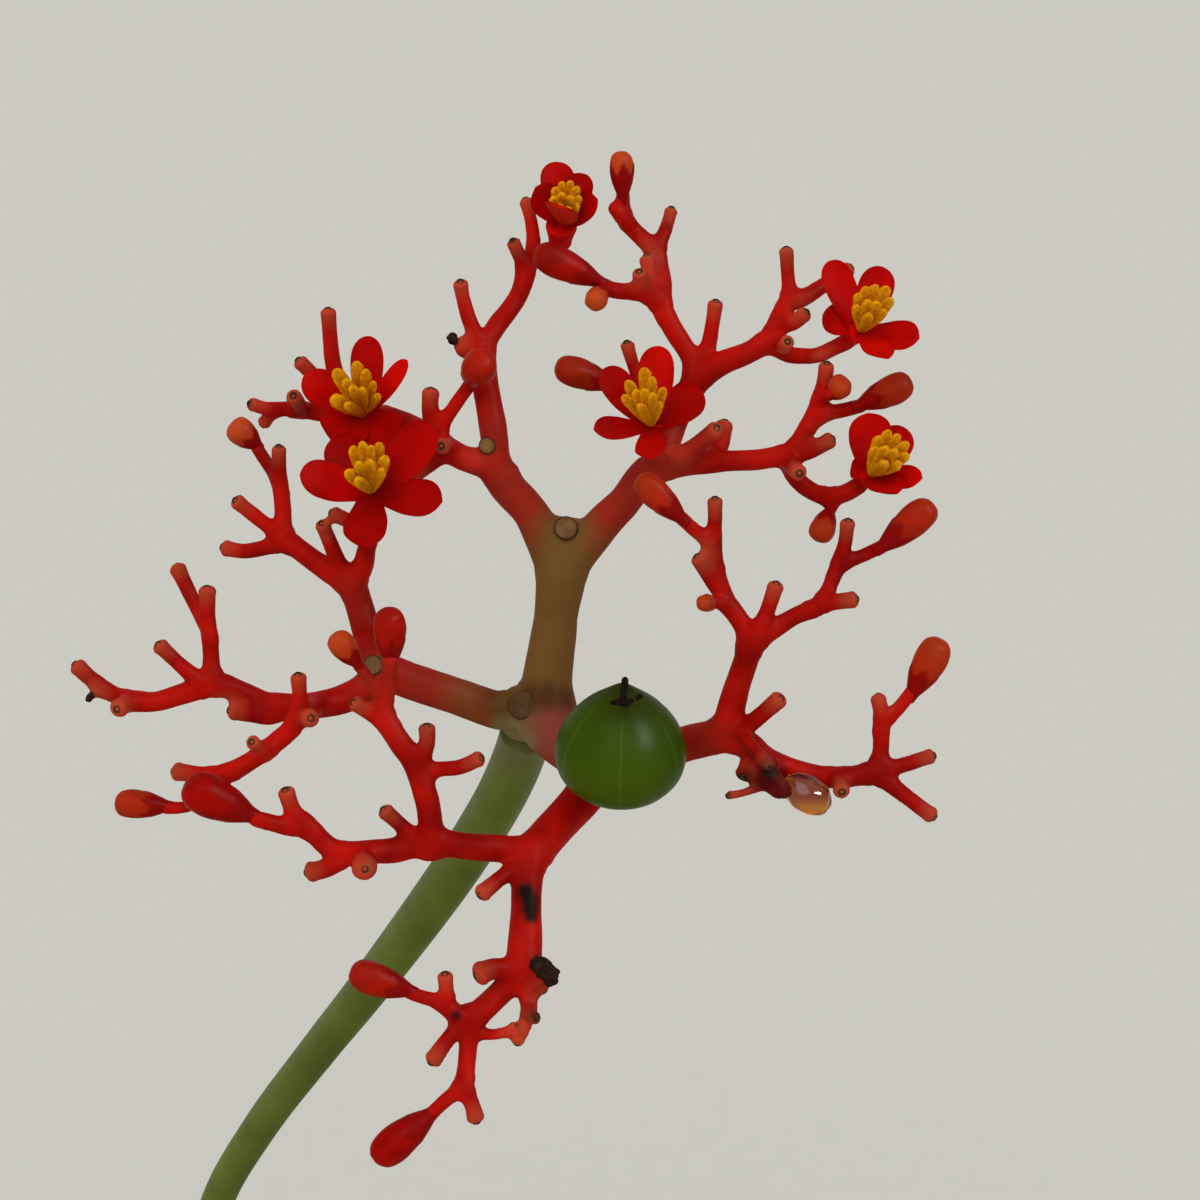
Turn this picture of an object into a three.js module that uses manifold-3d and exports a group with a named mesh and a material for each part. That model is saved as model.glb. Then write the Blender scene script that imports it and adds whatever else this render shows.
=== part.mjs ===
// A flowering buddha belly plant in a clay pot, in millimetres with +Z up.
// The origin is the middle of the pot's foot, and the flower head leans out over -Y.
import * as THREE from "three";
import { mergeVertices } from "three/addons/utils/BufferGeometryUtils.js";
import Module from "manifold-3d";

const wasm = await Module();
wasm.setup();

// Driving dimensions

const GAP = 0.3; // between pieces that touch
const POT_HEIGHT = 115;
const POT_RIM_RADIUS = 66;
const POT_FOOT_RADIUS = 45;
const POT_WALL = 6;
const POT_FLOOR = 9;
const POT_BAND = 24; // height of the rim band
const DRAIN_RADIUS = 4.5;
const DRAIN_CIRCLE = 24;
const SOIL_TOP = 97;
const CROWN_HEIGHT = 248; // top of the swollen stem
const STALK_RADIUS = 2.65;
const STALK_NECK_RADIUS = 2.95; // under the head
const STALK_FOOT_RADIUS = 3.3;
const HUB = new THREE.Vector3(58, -70, 478); // where the flower head forks

// The flower head is laid out on a square plan that stands in front of the eye.
const PLAN_UNITS = 1200; // units along each side of the plan
const PLAN_WIDTH = 136.8; // real width of the plan at the hub
const PLAN_EYE = 300; // from the eye to the hub's plane
const PLAN_TILT = THREE.MathUtils.degToRad(25); // the eye looks this far down
const HUB_ON_PLAN = [522, 705];
const MIDDLE_OF_PLAN = PLAN_UNITS / 2;
const UNIT = PLAN_WIDTH / PLAN_UNITS;

const ACROSS = new THREE.Vector3(1, 0, 0);
const UP_PLAN = new THREE.Vector3(0, Math.sin(PLAN_TILT), Math.cos(PLAN_TILT));
const TO_EYE = new THREE.Vector3(0, -Math.cos(PLAN_TILT), Math.sin(PLAN_TILT));
const PLAN_CENTRE = HUB.clone()
  .addScaledVector(ACROSS, (MIDDLE_OF_PLAN - HUB_ON_PLAN[0]) * UNIT)
  .addScaledVector(UP_PLAN, (HUB_ON_PLAN[1] - MIDDLE_OF_PLAN) * UNIT);

// A point of the head: plan units across and down, and millimetres from the hub's plane to the eye.
function onPlan([across, down, depth]) {
  const scale = UNIT * (1 - depth / PLAN_EYE);
  return PLAN_CENTRE.clone()
    .addScaledVector(ACROSS, (across - MIDDLE_OF_PLAN) * scale)
    .addScaledVector(UP_PLAN, (MIDDLE_OF_PLAN - down) * scale)
    .addScaledVector(TO_EYE, depth);
}

// Half of a width on the plan, in millimetres.
const planRadius = (width, depth) => (width / 2) * UNIT * (1 - depth / PLAN_EYE);

// Solids

function solid(geometry) {
  const bare = geometry.clone();
  bare.deleteAttribute("normal");
  bare.deleteAttribute("uv");
  const merged = mergeVertices(bare, 1e-4);
  return new wasm.Manifold(
    new wasm.Mesh({
      numProp: 3,
      vertProperties: merged.attributes.position.array,
      triVerts: new Uint32Array(merged.index.array),
    }),
  );
}

const joined = (solids) => solids.reduce((whole, piece) => whole.add(piece));

function geometryOf(manifold) {
  const mesh = manifold.getMesh();
  return new THREE.BufferGeometry()
    .setAttribute("position", new THREE.BufferAttribute(mesh.vertProperties, 3))
    .setIndex(new THREE.BufferAttribute(mesh.triVerts, 1))
    .toNonIndexed();
}

function mapVertices(geometry, change) {
  const place = geometry.attributes.position;
  for (let i = 0; i < place.count; i++) {
    const moved = change(new THREE.Vector3().fromBufferAttribute(place, i));
    place.setXYZ(i, moved.x, moved.y, moved.z);
  }
  return geometry;
}

// Frames along a curve that don't twist: a point, a tangent and two normals for each ring.
function framesAlong(curve, steps) {
  const frames = [];
  let side = null;
  for (let i = 0; i <= steps; i++) {
    const tangent = curve.getTangent(i / steps);
    const guess = side ?? new THREE.Vector3(0.31, 0.17, 0.94);
    side = guess.clone().addScaledVector(tangent, -guess.dot(tangent)).normalize();
    const over = new THREE.Vector3().crossVectors(tangent, side);
    frames.push({ point: curve.getPoint(i / steps), side, over });
  }
  return frames;
}

// A round limb through the points, with a radius at each point.
function limb(points, radii, sides, stepsPerSpan = 1) {
  const steps = (points.length - 1) * stepsPerSpan;
  const frames = framesAlong(new THREE.CatmullRomCurve3(points, false, "centripetal"), steps);
  return mapVertices(new THREE.CylinderGeometry(1, 1, 1, sides, steps), (p) => {
    const ring = Math.round((p.y + 0.5) * steps);
    const span = Math.min(Math.floor(ring / stepsPerSpan), points.length - 2);
    const part = ring / stepsPerSpan - span;
    const radius = THREE.MathUtils.lerp(radii[span], radii[span + 1], part);
    const { point, side, over } = frames[ring];
    return point
      .clone()
      .addScaledVector(over, p.x * radius)
      .addScaledVector(side, p.z * radius);
  });
}

// A lathe whose profile runs up from the axis, stood along the line from one point to another.
function turned(profile, sides, from, to, width) {
  const along = to.clone().sub(from);
  const lathe = new THREE.LatheGeometry(
    profile.map(([r, t]) => new THREE.Vector2((r * width) / 2, t * along.length())),
    sides,
  );
  const turn = new THREE.Quaternion().setFromUnitVectors(
    new THREE.Vector3(0, 1, 0),
    along.clone().normalize(),
  );
  return mapVertices(lathe, (p) => p.applyQuaternion(turn).add(from));
}

// Pot and soil

const BAND_STEP = 3.5; // the rim band stands out this far
const POT_SLOPE = (POT_RIM_RADIUS - BAND_STEP - POT_FOOT_RADIUS) / POT_HEIGHT;
const outerRadius = (z) => POT_FOOT_RADIUS + POT_SLOPE * z;

function pot(sides) {
  const bandFoot = POT_HEIGHT - POT_BAND;
  const profile = [
    [0, 0],
    [POT_FOOT_RADIUS - 1.5, 0],
    [POT_FOOT_RADIUS, 1.5],
    [outerRadius(bandFoot), bandFoot],
    [POT_RIM_RADIUS - 1.2, bandFoot],
    [POT_RIM_RADIUS, POT_HEIGHT - 2],
    [POT_RIM_RADIUS - 2, POT_HEIGHT],
    [POT_RIM_RADIUS - POT_WALL + 1, POT_HEIGHT],
    [outerRadius(POT_HEIGHT) - POT_WALL, POT_HEIGHT - 3],
    [outerRadius(POT_FLOOR) - POT_WALL, POT_FLOOR],
    [0, POT_FLOOR],
  ];
  const body = new THREE.LatheGeometry(
    profile.map(([r, z]) => new THREE.Vector2(r, z)),
    sides,
  ).rotateX(Math.PI / 2);
  const drains = [0, 1, 2, 3].map((i) => {
    const angle = ((i + 0.5) * Math.PI) / 2;
    return solid(
      new THREE.CylinderGeometry(DRAIN_RADIUS, DRAIN_RADIUS, 3 * POT_FLOOR, 12)
        .rotateX(Math.PI / 2)
        .translate(DRAIN_CIRCLE * Math.cos(angle), DRAIN_CIRCLE * Math.sin(angle), 0),
    );
  });
  return solid(body).subtract(joined(drains));
}

// The soil heaps gently round the stem and is uneven on top.
function soilHeight(x, y) {
  const out = Math.hypot(x, y);
  const heap = 5 * Math.exp(-((out / 38) ** 2));
  const lumps = 1.1 * Math.sin(0.21 * x + 1) * Math.cos(0.17 * y - 0.4) + 0.8 * Math.sin(0.11 * (x - y));
  return SOIL_TOP + heap + lumps;
}

function soil(sides) {
  const innerRadius = (z) => outerRadius(z) - POT_WALL - GAP;
  const edge = innerRadius(SOIL_TOP - 3);
  const rings = [edge * 0.82, edge * 0.62, edge * 0.4];
  const profile = [
    [0, POT_FLOOR + GAP],
    [innerRadius(POT_FLOOR), POT_FLOOR + GAP],
    [edge, SOIL_TOP - 3],
    ...rings.map((r) => [r, SOIL_TOP]),
    [0, SOIL_TOP],
  ];
  const body = new THREE.LatheGeometry(
    profile.map(([r, z]) => new THREE.Vector2(r, z)),
    sides,
  ).rotateX(Math.PI / 2);
  mapVertices(body, (p) => (p.z > SOIL_TOP - 1 ? p.setZ(soilHeight(p.x, p.y)) : p));
  return solid(body).subtract(swollenStem(GAP));
}

// Swollen stem

const STEM_ROOT = 30; // how deep the swollen base sits in the soil
const STEM_PROFILE = [
  // height over the soil, radius
  [-STEM_ROOT, 18],
  [-14, 29],
  [0, 35],
  [13, 38],
  [29, 36],
  [46, 30],
  [64, 23.5],
  [84, 18.5],
  [104, 15.5],
  [124, 14],
  [139, 12.8],
  [147, 9.5],
  [151, 4],
];

// The bark bulges a little, unevenly round the stem.
function barkBulge(angle, z) {
  return 0.035 * Math.sin(3 * angle + 0.05 * z) + 0.03 * Math.sin(5 * angle - 0.09 * z + 2);
}

function swollenStem(grow) {
  const profile = [
    [0, -STEM_ROOT - grow],
    ...STEM_PROFILE.map(([z, r]) => [r + grow, z]),
    [0, CROWN_HEIGHT - SOIL_TOP + 1 + grow],
  ];
  const body = new THREE.LatheGeometry(
    profile.map(([r, z]) => new THREE.Vector2(r, z + SOIL_TOP)),
    18,
  ).rotateX(Math.PI / 2);
  return solid(
    mapVertices(body, (p) => {
      const bulge = 1 + barkBulge(Math.atan2(p.y, p.x), p.z);
      return new THREE.Vector3(p.x * bulge, p.y * bulge, p.z);
    }),
  );
}

// Leaves: a long stalk that meets the blade a little inside its edge

const PETIOLE_RADIUS = 2.1;
const BLADE_THICKNESS = 0.9;
const LEAVES = [
  // bearing, reach of the stalk, its rise, blade radius, droop of the blade in degrees
  { bearing: 228, reach: 80, rise: 60, blade: 62, droop: 22, lobes: 5 },
  { bearing: 174, reach: 84, rise: 38, blade: 66, droop: 26, lobes: 5 },
  { bearing: 128, reach: 60, rise: -8, blade: 50, droop: 40, lobes: 3 },
  { bearing: 50, reach: 60, rise: 4, blade: 48, droop: 38, lobes: 5 },
  { bearing: 358, reach: 84, rise: 24, blade: 62, droop: 24, lobes: 5 },
  { bearing: 286, reach: 72, rise: 46, blade: 52, droop: 20, lobes: 3 },
];

// The blade's rim: round lobes, with a shallow notch where the blade's base folds together.
function lobedRim(angle, lobes) {
  const forward = 1 + 0.12 * Math.cos(angle);
  const lobe = Math.abs(Math.cos((lobes * angle) / 2)) ** 0.7;
  return forward * (0.72 + 0.3 * lobe);
}

function leaf({ bearing, reach, rise, blade, droop, lobes }) {
  const turn = THREE.MathUtils.degToRad(bearing);
  const outward = new THREE.Vector3(Math.cos(turn), Math.sin(turn), 0);
  const root = outward.clone().multiplyScalar(5).setZ(CROWN_HEIGHT - 12);
  const arch = (share, lift) =>
    outward.clone().multiplyScalar(5 + reach * share).setZ(CROWN_HEIGHT - 12 + lift);
  const top = arch(1, rise + 12);
  const stalk = limb(
    [root, arch(0.25, 0.45 * rise + 14), arch(0.65, 0.85 * rise + 17), top],
    [PETIOLE_RADIUS * 1.5, PETIOLE_RADIUS, PETIOLE_RADIUS * 0.9, PETIOLE_RADIUS * 0.8],
    6,
    2,
  );
  const rings = 3;
  const spokes = lobes === 3 ? 24 : 20;
  const disc = new THREE.LatheGeometry(
    [
      [0, -1],
      ...Array.from({ length: rings }, (_, i) => [(i + 1) / rings, -1]),
      ...Array.from({ length: rings }, (_, i) => [(rings - i) / rings, 1]),
      [0, 1],
    ].map(([r, z]) => new THREE.Vector2(r, z)),
    spokes,
  ).rotateX(Math.PI / 2);
  const tilt = new THREE.Matrix4()
    .makeRotationZ(turn)
    .multiply(new THREE.Matrix4().makeRotationY(THREE.MathUtils.degToRad(droop)));
  mapVertices(disc, (p) => {
    const angle = Math.atan2(p.y, p.x);
    const share = Math.hypot(p.x, p.y);
    const out = share * blade * lobedRim(angle, lobes);
    const wave = 0.05 * blade * share ** 2 * Math.cos(lobes * angle) - 0.1 * blade * share ** 2;
    return new THREE.Vector3(
      out * Math.cos(angle) + 0.22 * blade,
      out * Math.sin(angle),
      wave + (p.z * BLADE_THICKNESS) / 2,
    )
      .applyMatrix4(tilt)
      .add(top);
  });
  return solid(stalk).add(solid(disc)).subtract(swollenStem(GAP));
}

// Flower stalk

const STALK_ON_PLAN = [
  [526, 731.5, -5.2],
  [521, 752, -9],
  [505, 787, -15],
  [475, 838, -26],
  [438, 895, -36],
  [374, 990, -58],
  [320, 1050, -73],
  [254, 1130, -93],
  [219, 1200, -107],
];
const STALK_FOOT = [
  new THREE.Vector3(2.5, -2, 338),
  new THREE.Vector3(-0.8, 1.5, 300),
  new THREE.Vector3(0, 0, CROWN_HEIGHT - 6),
];
const NECK_SPANS = 4; // over which the neck narrows to the stalk

function flowerStalk() {
  const points = [...STALK_ON_PLAN.map(onPlan), ...STALK_FOOT];
  const last = points.length - 1;
  const radii = points.map((_, i) => {
    const neck = (STALK_NECK_RADIUS - STALK_RADIUS) * Math.max(0, 1 - i / NECK_SPANS);
    return neck + THREE.MathUtils.lerp(STALK_RADIUS, STALK_FOOT_RADIUS, (i / last) ** 4);
  });
  return solid(limb(points, radii, 10)).subtract(swollenStem(GAP));
}

// Coral head: every limb is a run of [across, down, depth, width] on the plan

const HUB_LIMBS = [
  [[522, 706, 0, 46], [524, 717, -2.2, 47], [526, 729, -4.8, 47]],
  [[546, 716, 0, 74], [547, 684, 0, 50], [556, 617, 1, 43], [562, 570, 2, 46], [566, 530, 2, 52]],
  [[526, 708, 0, 40], [502, 708, 0, 37], [456, 694, 2, 35], [408, 679, 3, 35], [373, 667, 4, 38]],
  [[520, 704, 0, 44], [550, 735, 2, 46], [582, 760, 5, 42], [612, 774, 7, 40]],
];

const UPPER_LEFT_LIMBS = [
  [[560, 540, 2, 44], [533, 508, 4, 32], [512, 488, 5, 31], [494, 460, 6, 32]],
  [[498, 468, 6, 28], [494, 434, 7, 25], [489, 405, 7, 24], [484, 375, 7, 24], [482, 342, 7, 24]],
  [[482, 350, 7, 13], [464, 342, 7, 11], [453, 339, 7, 9]],
  [[483, 350, 7, 18], [468, 318, 8, 14], [463, 298, 8, 13], [460, 281, 9, 13]],
  [[481, 350, 7, 21], [495, 322, 6, 19], [508, 308, 6, 18], [520, 290, 5, 18], [527, 262, 5, 20]],
  [[527, 270, 5, 15], [519, 255, 6, 14], [512, 239, 7, 14]],
  [[528, 268, 5, 17], [533, 243, 4, 15], [531, 220, 4, 13], [525, 198, 4, 13]],
  [[526, 266, 5, 15], [546, 255, 3, 13], [559, 246, 2, 13]],
  [[502, 470, 6, 26], [475, 460, 7, 22], [462, 455, 7, 22], [445, 446, 8, 22], [434, 433, 8, 22]],
  [[448, 446, 8, 17], [441, 446, 13, 16]],
  [[437, 442, 8, 18], [432, 412, 9, 16], [431, 388, 10, 16]],
  [[437, 438, 8, 17], [448, 416, 9, 14], [466, 390, 10, 14], [474, 378, 11, 15]],
  [[450, 450, 8, 16], [430, 465, 9, 15], [412, 477, 9, 14]],
  [[440, 440, 8, 22], [410, 428, 5, 19], [380, 424, 2, 18], [323, 414, 1, 17], [287, 406, 2, 18]],
  [[372, 426, 2, 14], [372, 421, 4.6, 13]],
  [[296, 412, 2, 16], [300, 408, 3, 15], [293, 395, 7, 15]],
  [[296, 409, 2, 16], [268, 409, 3, 14], [248, 403, 4, 13]],
  [[292, 407, 2, 14], [275, 411, 2, 13], [262, 426, 1, 13]],
  [[354, 422, 1, 18], [342, 392, 1, 18], [334, 368, 2, 17], [330, 335, 3, 15], [328, 308, 4, 15]],
  [[342, 408, 1, 16], [318, 380, 1, 15], [297, 359, 2, 15]],
];

const UPPER_RIGHT_LIMBS = [
  [[574, 540, 2, 44], [594, 520, 4, 34], [616, 500, 5, 32], [641, 474, 7, 32], [660, 462, 8, 33]],
  [[668, 464, 8, 20], [692, 448, 11, 16], [718, 427, 15, 15]],
  [[712, 462, 8, 17], [721, 445, 7, 15], [725, 420, 7, 15]],
  [[670, 466, 8, 20], [674, 454, 11, 16], [664, 444, 12.5, 15]],
  [[670, 438, 7, 15], [650, 404, 4, 14], [635, 370, 4, 13], [626, 341, 5, 14]],
  [[668, 430, 7, 14], [635, 398, 5, 12], [608, 383, 6, 13]],
  [[650, 468, 8, 28], [682, 463, 8, 22], [724, 460, 9, 20], [757, 458, 9, 20], [792, 453, 9, 22]],
  [[786, 458, 9, 20], [799, 435, 9, 18], [813, 407, 9, 16], [822, 382, 10, 15], [827, 362, 11, 15]],
  [[811, 420, 9, 15], [826, 411, 9, 14], [845, 408, 9, 13], [868, 403, 10, 13]],
  [[817, 398, 10, 10], [832, 391, 12, 10]],
  [[788, 454, 9, 19], [807, 449, 9, 16], [834, 437, 10, 16]],
  [[786, 458, 9, 16], [792, 466, 11, 16], [800, 474, 14, 16]],
  [[789, 452, 9, 19], [794, 474, 9, 17], [808, 488, 9, 17], [824, 495, 9, 17], [843, 493, 10, 17], [859, 484, 10, 15]],
  [[830, 492, 9, 12], [832, 505, 9, 11], [830, 516, 9, 11]],
  [[654, 468, 8, 30], [666, 440, 7, 27], [680, 410, 6, 26], [694, 382, 6, 27], [697, 362, 6, 27]],
  [[696, 372, 6, 19], [707, 350, 6, 16], [712, 327, 7, 15], [716, 300, 8, 15]],
  [[699, 372, 6, 22], [687, 350, 6, 18], [674, 327, 6, 18], [661, 302, 6, 19]],
  [[666, 308, 6, 17], [642, 292, 7, 16], [615, 288, 7, 15], [593, 279, 8, 14]],
  [[608, 287, 7, 11], [599, 292, 9, 12]],
  [[642, 294, 7, 14], [640, 282, 8, 14], [639, 270, 9, 14]],
  [[662, 304, 6, 15], [652, 278, 7, 13], [646, 255, 7, 13]],
  [[664, 310, 6, 19], [664, 285, 6, 17], [660, 264, 5, 17], [656, 245, 5, 19]],
  [[658, 252, 5, 17], [646, 235, 5, 15], [634, 223, 5, 15], [625, 211, 6, 15]],
  [[630, 220, 6, 14], [612, 201, 7, 14]],
  [[627, 220, 6, 14], [625, 204, 6, 13], [623, 188, 7, 12]],
  [[656, 252, 5, 16], [663, 236, 5, 14], [668, 222, 4, 13], [672, 207, 4, 13]],
  [[693, 382, 6, 25], [720, 361, 7, 22], [748, 348, 8, 21], [773, 333, 8, 23]],
  [[766, 340, 8, 20], [774, 320, 8, 18], [784, 303, 8, 17], [791, 292, 8, 18]],
  [[789, 302, 8, 17], [787, 277, 8, 13], [786, 247, 9, 13]],
  [[786, 300, 8, 17], [802, 294, 8, 15], [820, 284, 7, 14], [852, 266, 6, 14]],
  [[776, 322, 8, 17], [792, 320, 9, 15], [808, 309, 10, 15]],
  [[778, 338, 8, 15], [783, 347, 11, 15], [788, 341, 14, 14]],
  [[768, 336, 8, 19], [784, 352, 8, 17], [805, 355, 8, 16], [818, 354, 9, 16], [836, 346, 9, 15], [846, 340, 9, 15]],
];

const LEFT_LIMBS = [
  [[378, 674, 4, 34], [371, 650, 4, 28], [366, 631, 5, 27], [357, 601, 5, 27], [348, 574, 6, 29]],
  [[354, 586, 6, 26], [331, 570, 6, 22], [311, 557, 6, 21], [290, 543, 5, 20], [279, 534, 5, 23]],
  [[283, 544, 5, 20], [283, 510, 5, 17], [279, 472, 6, 15], [279, 445, 7, 14]],
  [[282, 488, 5, 14], [270, 468, 5, 13], [254, 443, 5, 13]],
  [[284, 540, 5, 19], [265, 524, 6, 15], [250, 512, 6, 15], [234, 499, 7, 15]],
  [[288, 540, 5, 18], [266, 547, 5, 15], [243, 551, 4, 14], [221, 547, 4, 14]],
  [[350, 586, 6, 20], [339, 565, 7, 16], [333, 550, 8, 16], [326, 533, 8, 15], [321, 521, 9, 14]],
  [[350, 586, 6, 24], [361, 568, 7, 20], [366, 548, 9, 19], [374, 525, 11, 18], [377, 516, 12, 18]],
  [[368, 536, 9, 15], [348, 521, 9, 15], [330, 512, 9, 15]],
  [[384, 672, 4, 32], [347, 693, 5, 27], [309, 705, 7, 25], [268, 704, 8, 26]],
  [[276, 707, 8, 24], [251, 693, 8, 21], [226, 682, 9, 22], [209, 677, 9, 24]],
  [[213, 684, 9, 22], [211, 655, 9, 17], [208, 617, 10, 16], [207, 586, 11, 17]],
  [[210, 636, 10, 14], [200, 614, 9, 14], [190, 594, 9, 15], [176, 565, 8, 16]],
  [[214, 684, 9, 18], [194, 670, 10, 15], [178, 656, 10, 15], [159, 641, 11, 16]],
  [[218, 678, 9, 23], [184, 686, 9, 20], [152, 697, 10, 19], [122, 697, 10, 21]],
  [[130, 697, 10, 17], [115, 709, 13, 17]],
  [[130, 698, 10, 18], [108, 689, 9, 17], [92, 676, 9, 16], [76, 661, 9, 17]],
  [[102, 686, 9, 8], [90, 698, 10, 6]],
  [[294, 706, 7, 20], [270, 716, 8, 18], [251, 714, 9, 17], [228, 710, 9, 18]],
  [[318, 704, 7, 22], [307, 712, 11, 21], [296, 720, 14, 22]],
  [[298, 724, 14, 18], [300, 700, 14, 15], [298, 673, 15, 16]],
  [[298, 718, 13, 17], [312, 718, 17, 18]],
  [[300, 712, 14, 22], [290, 730, 14, 20], [280, 741, 14, 20], [261, 754, 15, 19], [232, 770, 15, 18], [210, 777, 15, 18]],
  [[268, 754, 14, 14], [251, 741, 18, 14]],
  [[222, 774, 15, 17], [195, 773, 15, 15], [172, 770, 15, 16]],
  [[226, 774, 15, 14], [202, 795, 12, 12], [185, 805, 12, 12], [160, 806, 12, 14]],
];

const SAP_LIMB = [
  [722, 732, 12, 34],
  [748, 742, 12, 28],
  [764, 756, 12, 26],
  [793, 768, 12, 23],
  [824, 777, 12, 22],
  [854, 775, 13, 21],
  [884, 770, 13, 23],
];
const RIGHT_LIMBS = [
  [[612, 770, 7, 28], [616, 784, 9.2, 26], [618, 796, 12, 22]],
  [[600, 768, 7, 38], [650, 757, 8, 38], [684, 744, 9, 36], [716, 738, 11, 34], [738, 727, 12, 36]],
  [[726, 738, 12, 30], [736, 706, 13, 26], [742, 681, 14, 25], [748, 657, 15, 25], [751, 634, 16, 28]],
  [[754, 646, 16, 24], [741, 622, 16, 20], [726, 600, 16, 19], [715, 558, 17, 16], [715, 525, 18, 15], [715, 497, 19, 15]],
  [[716, 562, 17, 16], [705, 540, 18, 14], [690, 526, 19, 14], [675, 512, 20, 14]],
  [[726, 602, 16, 17], [711, 580, 17, 14], [696, 555, 18, 15]],
  [[726, 604, 16, 13], [712, 603, 18, 12]],
  [[750, 648, 16, 22], [758, 629, 17, 17], [767, 612, 17, 16], [777, 582, 18, 16]],
  [[748, 644, 16, 24], [766, 634, 16, 20], [793, 617, 16, 18], [816, 607, 17, 18], [826, 600, 17, 19]],
  [[819, 608, 17, 18], [829, 588, 17, 16], [838, 563, 17, 15], [845, 543, 18, 14], [848, 519, 19, 15]],
  [[836, 570, 17, 15], [850, 561, 17, 14], [866, 554, 17, 14], [888, 543, 18, 14]],
  [[816, 606, 17, 18], [829, 603, 18, 16], [858, 599, 19, 16]],
  [[728, 736, 12, 22], [750, 724, 14, 18], [782, 697, 17, 17]],
  SAP_LIMB,
  [[876, 776, 13, 21], [881, 750, 13, 17], [881, 728, 14, 17], [883, 714, 14, 18]],
  [[883, 724, 14, 16], [880, 708, 15, 15], [878, 694, 15, 15]],
  [[880, 726, 14, 16], [892, 715, 14, 14], [904, 702, 15, 14], [917, 684, 15, 14]],
  [[876, 770, 13, 18], [895, 767, 13, 15], [935, 755, 13, 15]],
  [[874, 768, 13, 20], [889, 783, 13, 18], [911, 800, 14, 16], [935, 818, 14, 16]],
  [[838, 774, 12, 16], [842, 793, 16, 16]],
  [[736, 728, 12, 14], [754, 748, 17, 12], [770, 768, 20, 13]],
  [[752, 742, 12, 12], [746, 764, 14, 12], [745, 780, 15, 17]],
  [[778, 764, 13, 10], [763, 785, 14, 8], [742, 793, 15, 8], [726, 796, 15, 9]],
];

const LOWER_LIMBS = [
  [[602, 770, 7, 42], [588, 799, 9, 40], [569, 818, 11, 40], [546, 842, 14, 38], [525, 862, 16, 41]],
  [[536, 858, 16, 32], [512, 850, 16, 28], [473, 847, 17, 27], [435, 841, 17, 28], [422, 837, 17, 29]],
  [[430, 850, 17, 28], [430, 818, 18, 25], [424, 790, 19, 24], [416, 762, 19, 23], [405, 738, 20, 20], [389, 717, 20, 20], [382, 698, 20, 21]],
  [[420, 770, 19, 18], [427, 745, 20, 16], [427, 724, 21, 16]],
  [[422, 774, 19, 18], [440, 769, 19, 16], [460, 767, 20, 15], [483, 757, 21, 16]],
  [[390, 720, 20, 17], [372, 714, 20, 15], [352, 701, 21, 16]],
  [[382, 708, 20, 19], [388, 688, 21, 17], [390, 668, 22, 17], [391, 654, 23, 18]],
  [[386, 706, 20, 14], [370, 680, 21, 12], [355, 661, 22, 13]],
  [[424, 842, 17, 20], [407, 830, 17, 15], [382, 808, 18, 16]],
  [[432, 838, 17, 28], [397, 850, 17, 26], [368, 852, 18, 24], [337, 855, 18, 25]],
  [[344, 856, 18, 20], [331, 867, 18, 17], [305, 874, 18, 18]],
  [[358, 856, 18, 22], [366, 870, 22, 25]],
  [[348, 857, 18, 23], [327, 842, 18, 21], [312, 826, 19, 21], [299, 818, 19, 21]],
  [[306, 824, 19, 19], [294, 808, 19, 17], [285, 787, 20, 17]],
  [[308, 824, 19, 20], [288, 825, 19, 17], [268, 821, 20, 17], [248, 816, 20, 18]],
  [[528, 858, 16, 20], [502, 877, 18, 16], [479, 896, 20, 17]],
  [[530, 850, 16, 36], [527, 885, 17, 31], [526, 914, 18, 31], [525, 943, 19, 33], [521, 979, 20, 36]],
  [[522, 972, 20, 19], [498, 966, 21, 17], [472, 973, 22, 19]],
  [[528, 966, 20, 28], [502, 988, 20, 24], [479, 1010, 21, 24], [465, 1022, 21, 25]],
  [[476, 1020, 21, 19], [456, 1010, 22, 17], [443, 996, 22, 18]],
  [[448, 1004, 22, 16], [445, 972, 23, 16]],
  [[450, 1000, 22, 16], [434, 996, 22, 14], [403, 988, 22, 15]],
  [[474, 1014, 21, 19], [452, 1034, 22, 16], [430, 1064, 23, 17]],
  [[465, 1014, 21, 21], [468, 1034, 21, 19], [467, 1063, 21, 18], [463, 1093, 22, 20]],
  [[464, 1086, 22, 18], [472, 1104, 22, 16], [477, 1123, 22, 17]],
  [[467, 1084, 22, 18], [452, 1095, 22, 15], [437, 1108, 22, 14], [424, 1121, 22, 15]],
  [[470, 1026, 21, 12], [483, 1034, 21, 10], [506, 1032, 22, 9], [518, 1027, 22, 11]],
  [[520, 974, 20, 22], [529, 1005, 21, 15], [526, 1028, 21, 12], [518, 1046, 22, 9]],
  [[527, 1008, 21, 12], [536, 1020, 24, 12]],
];

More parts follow.
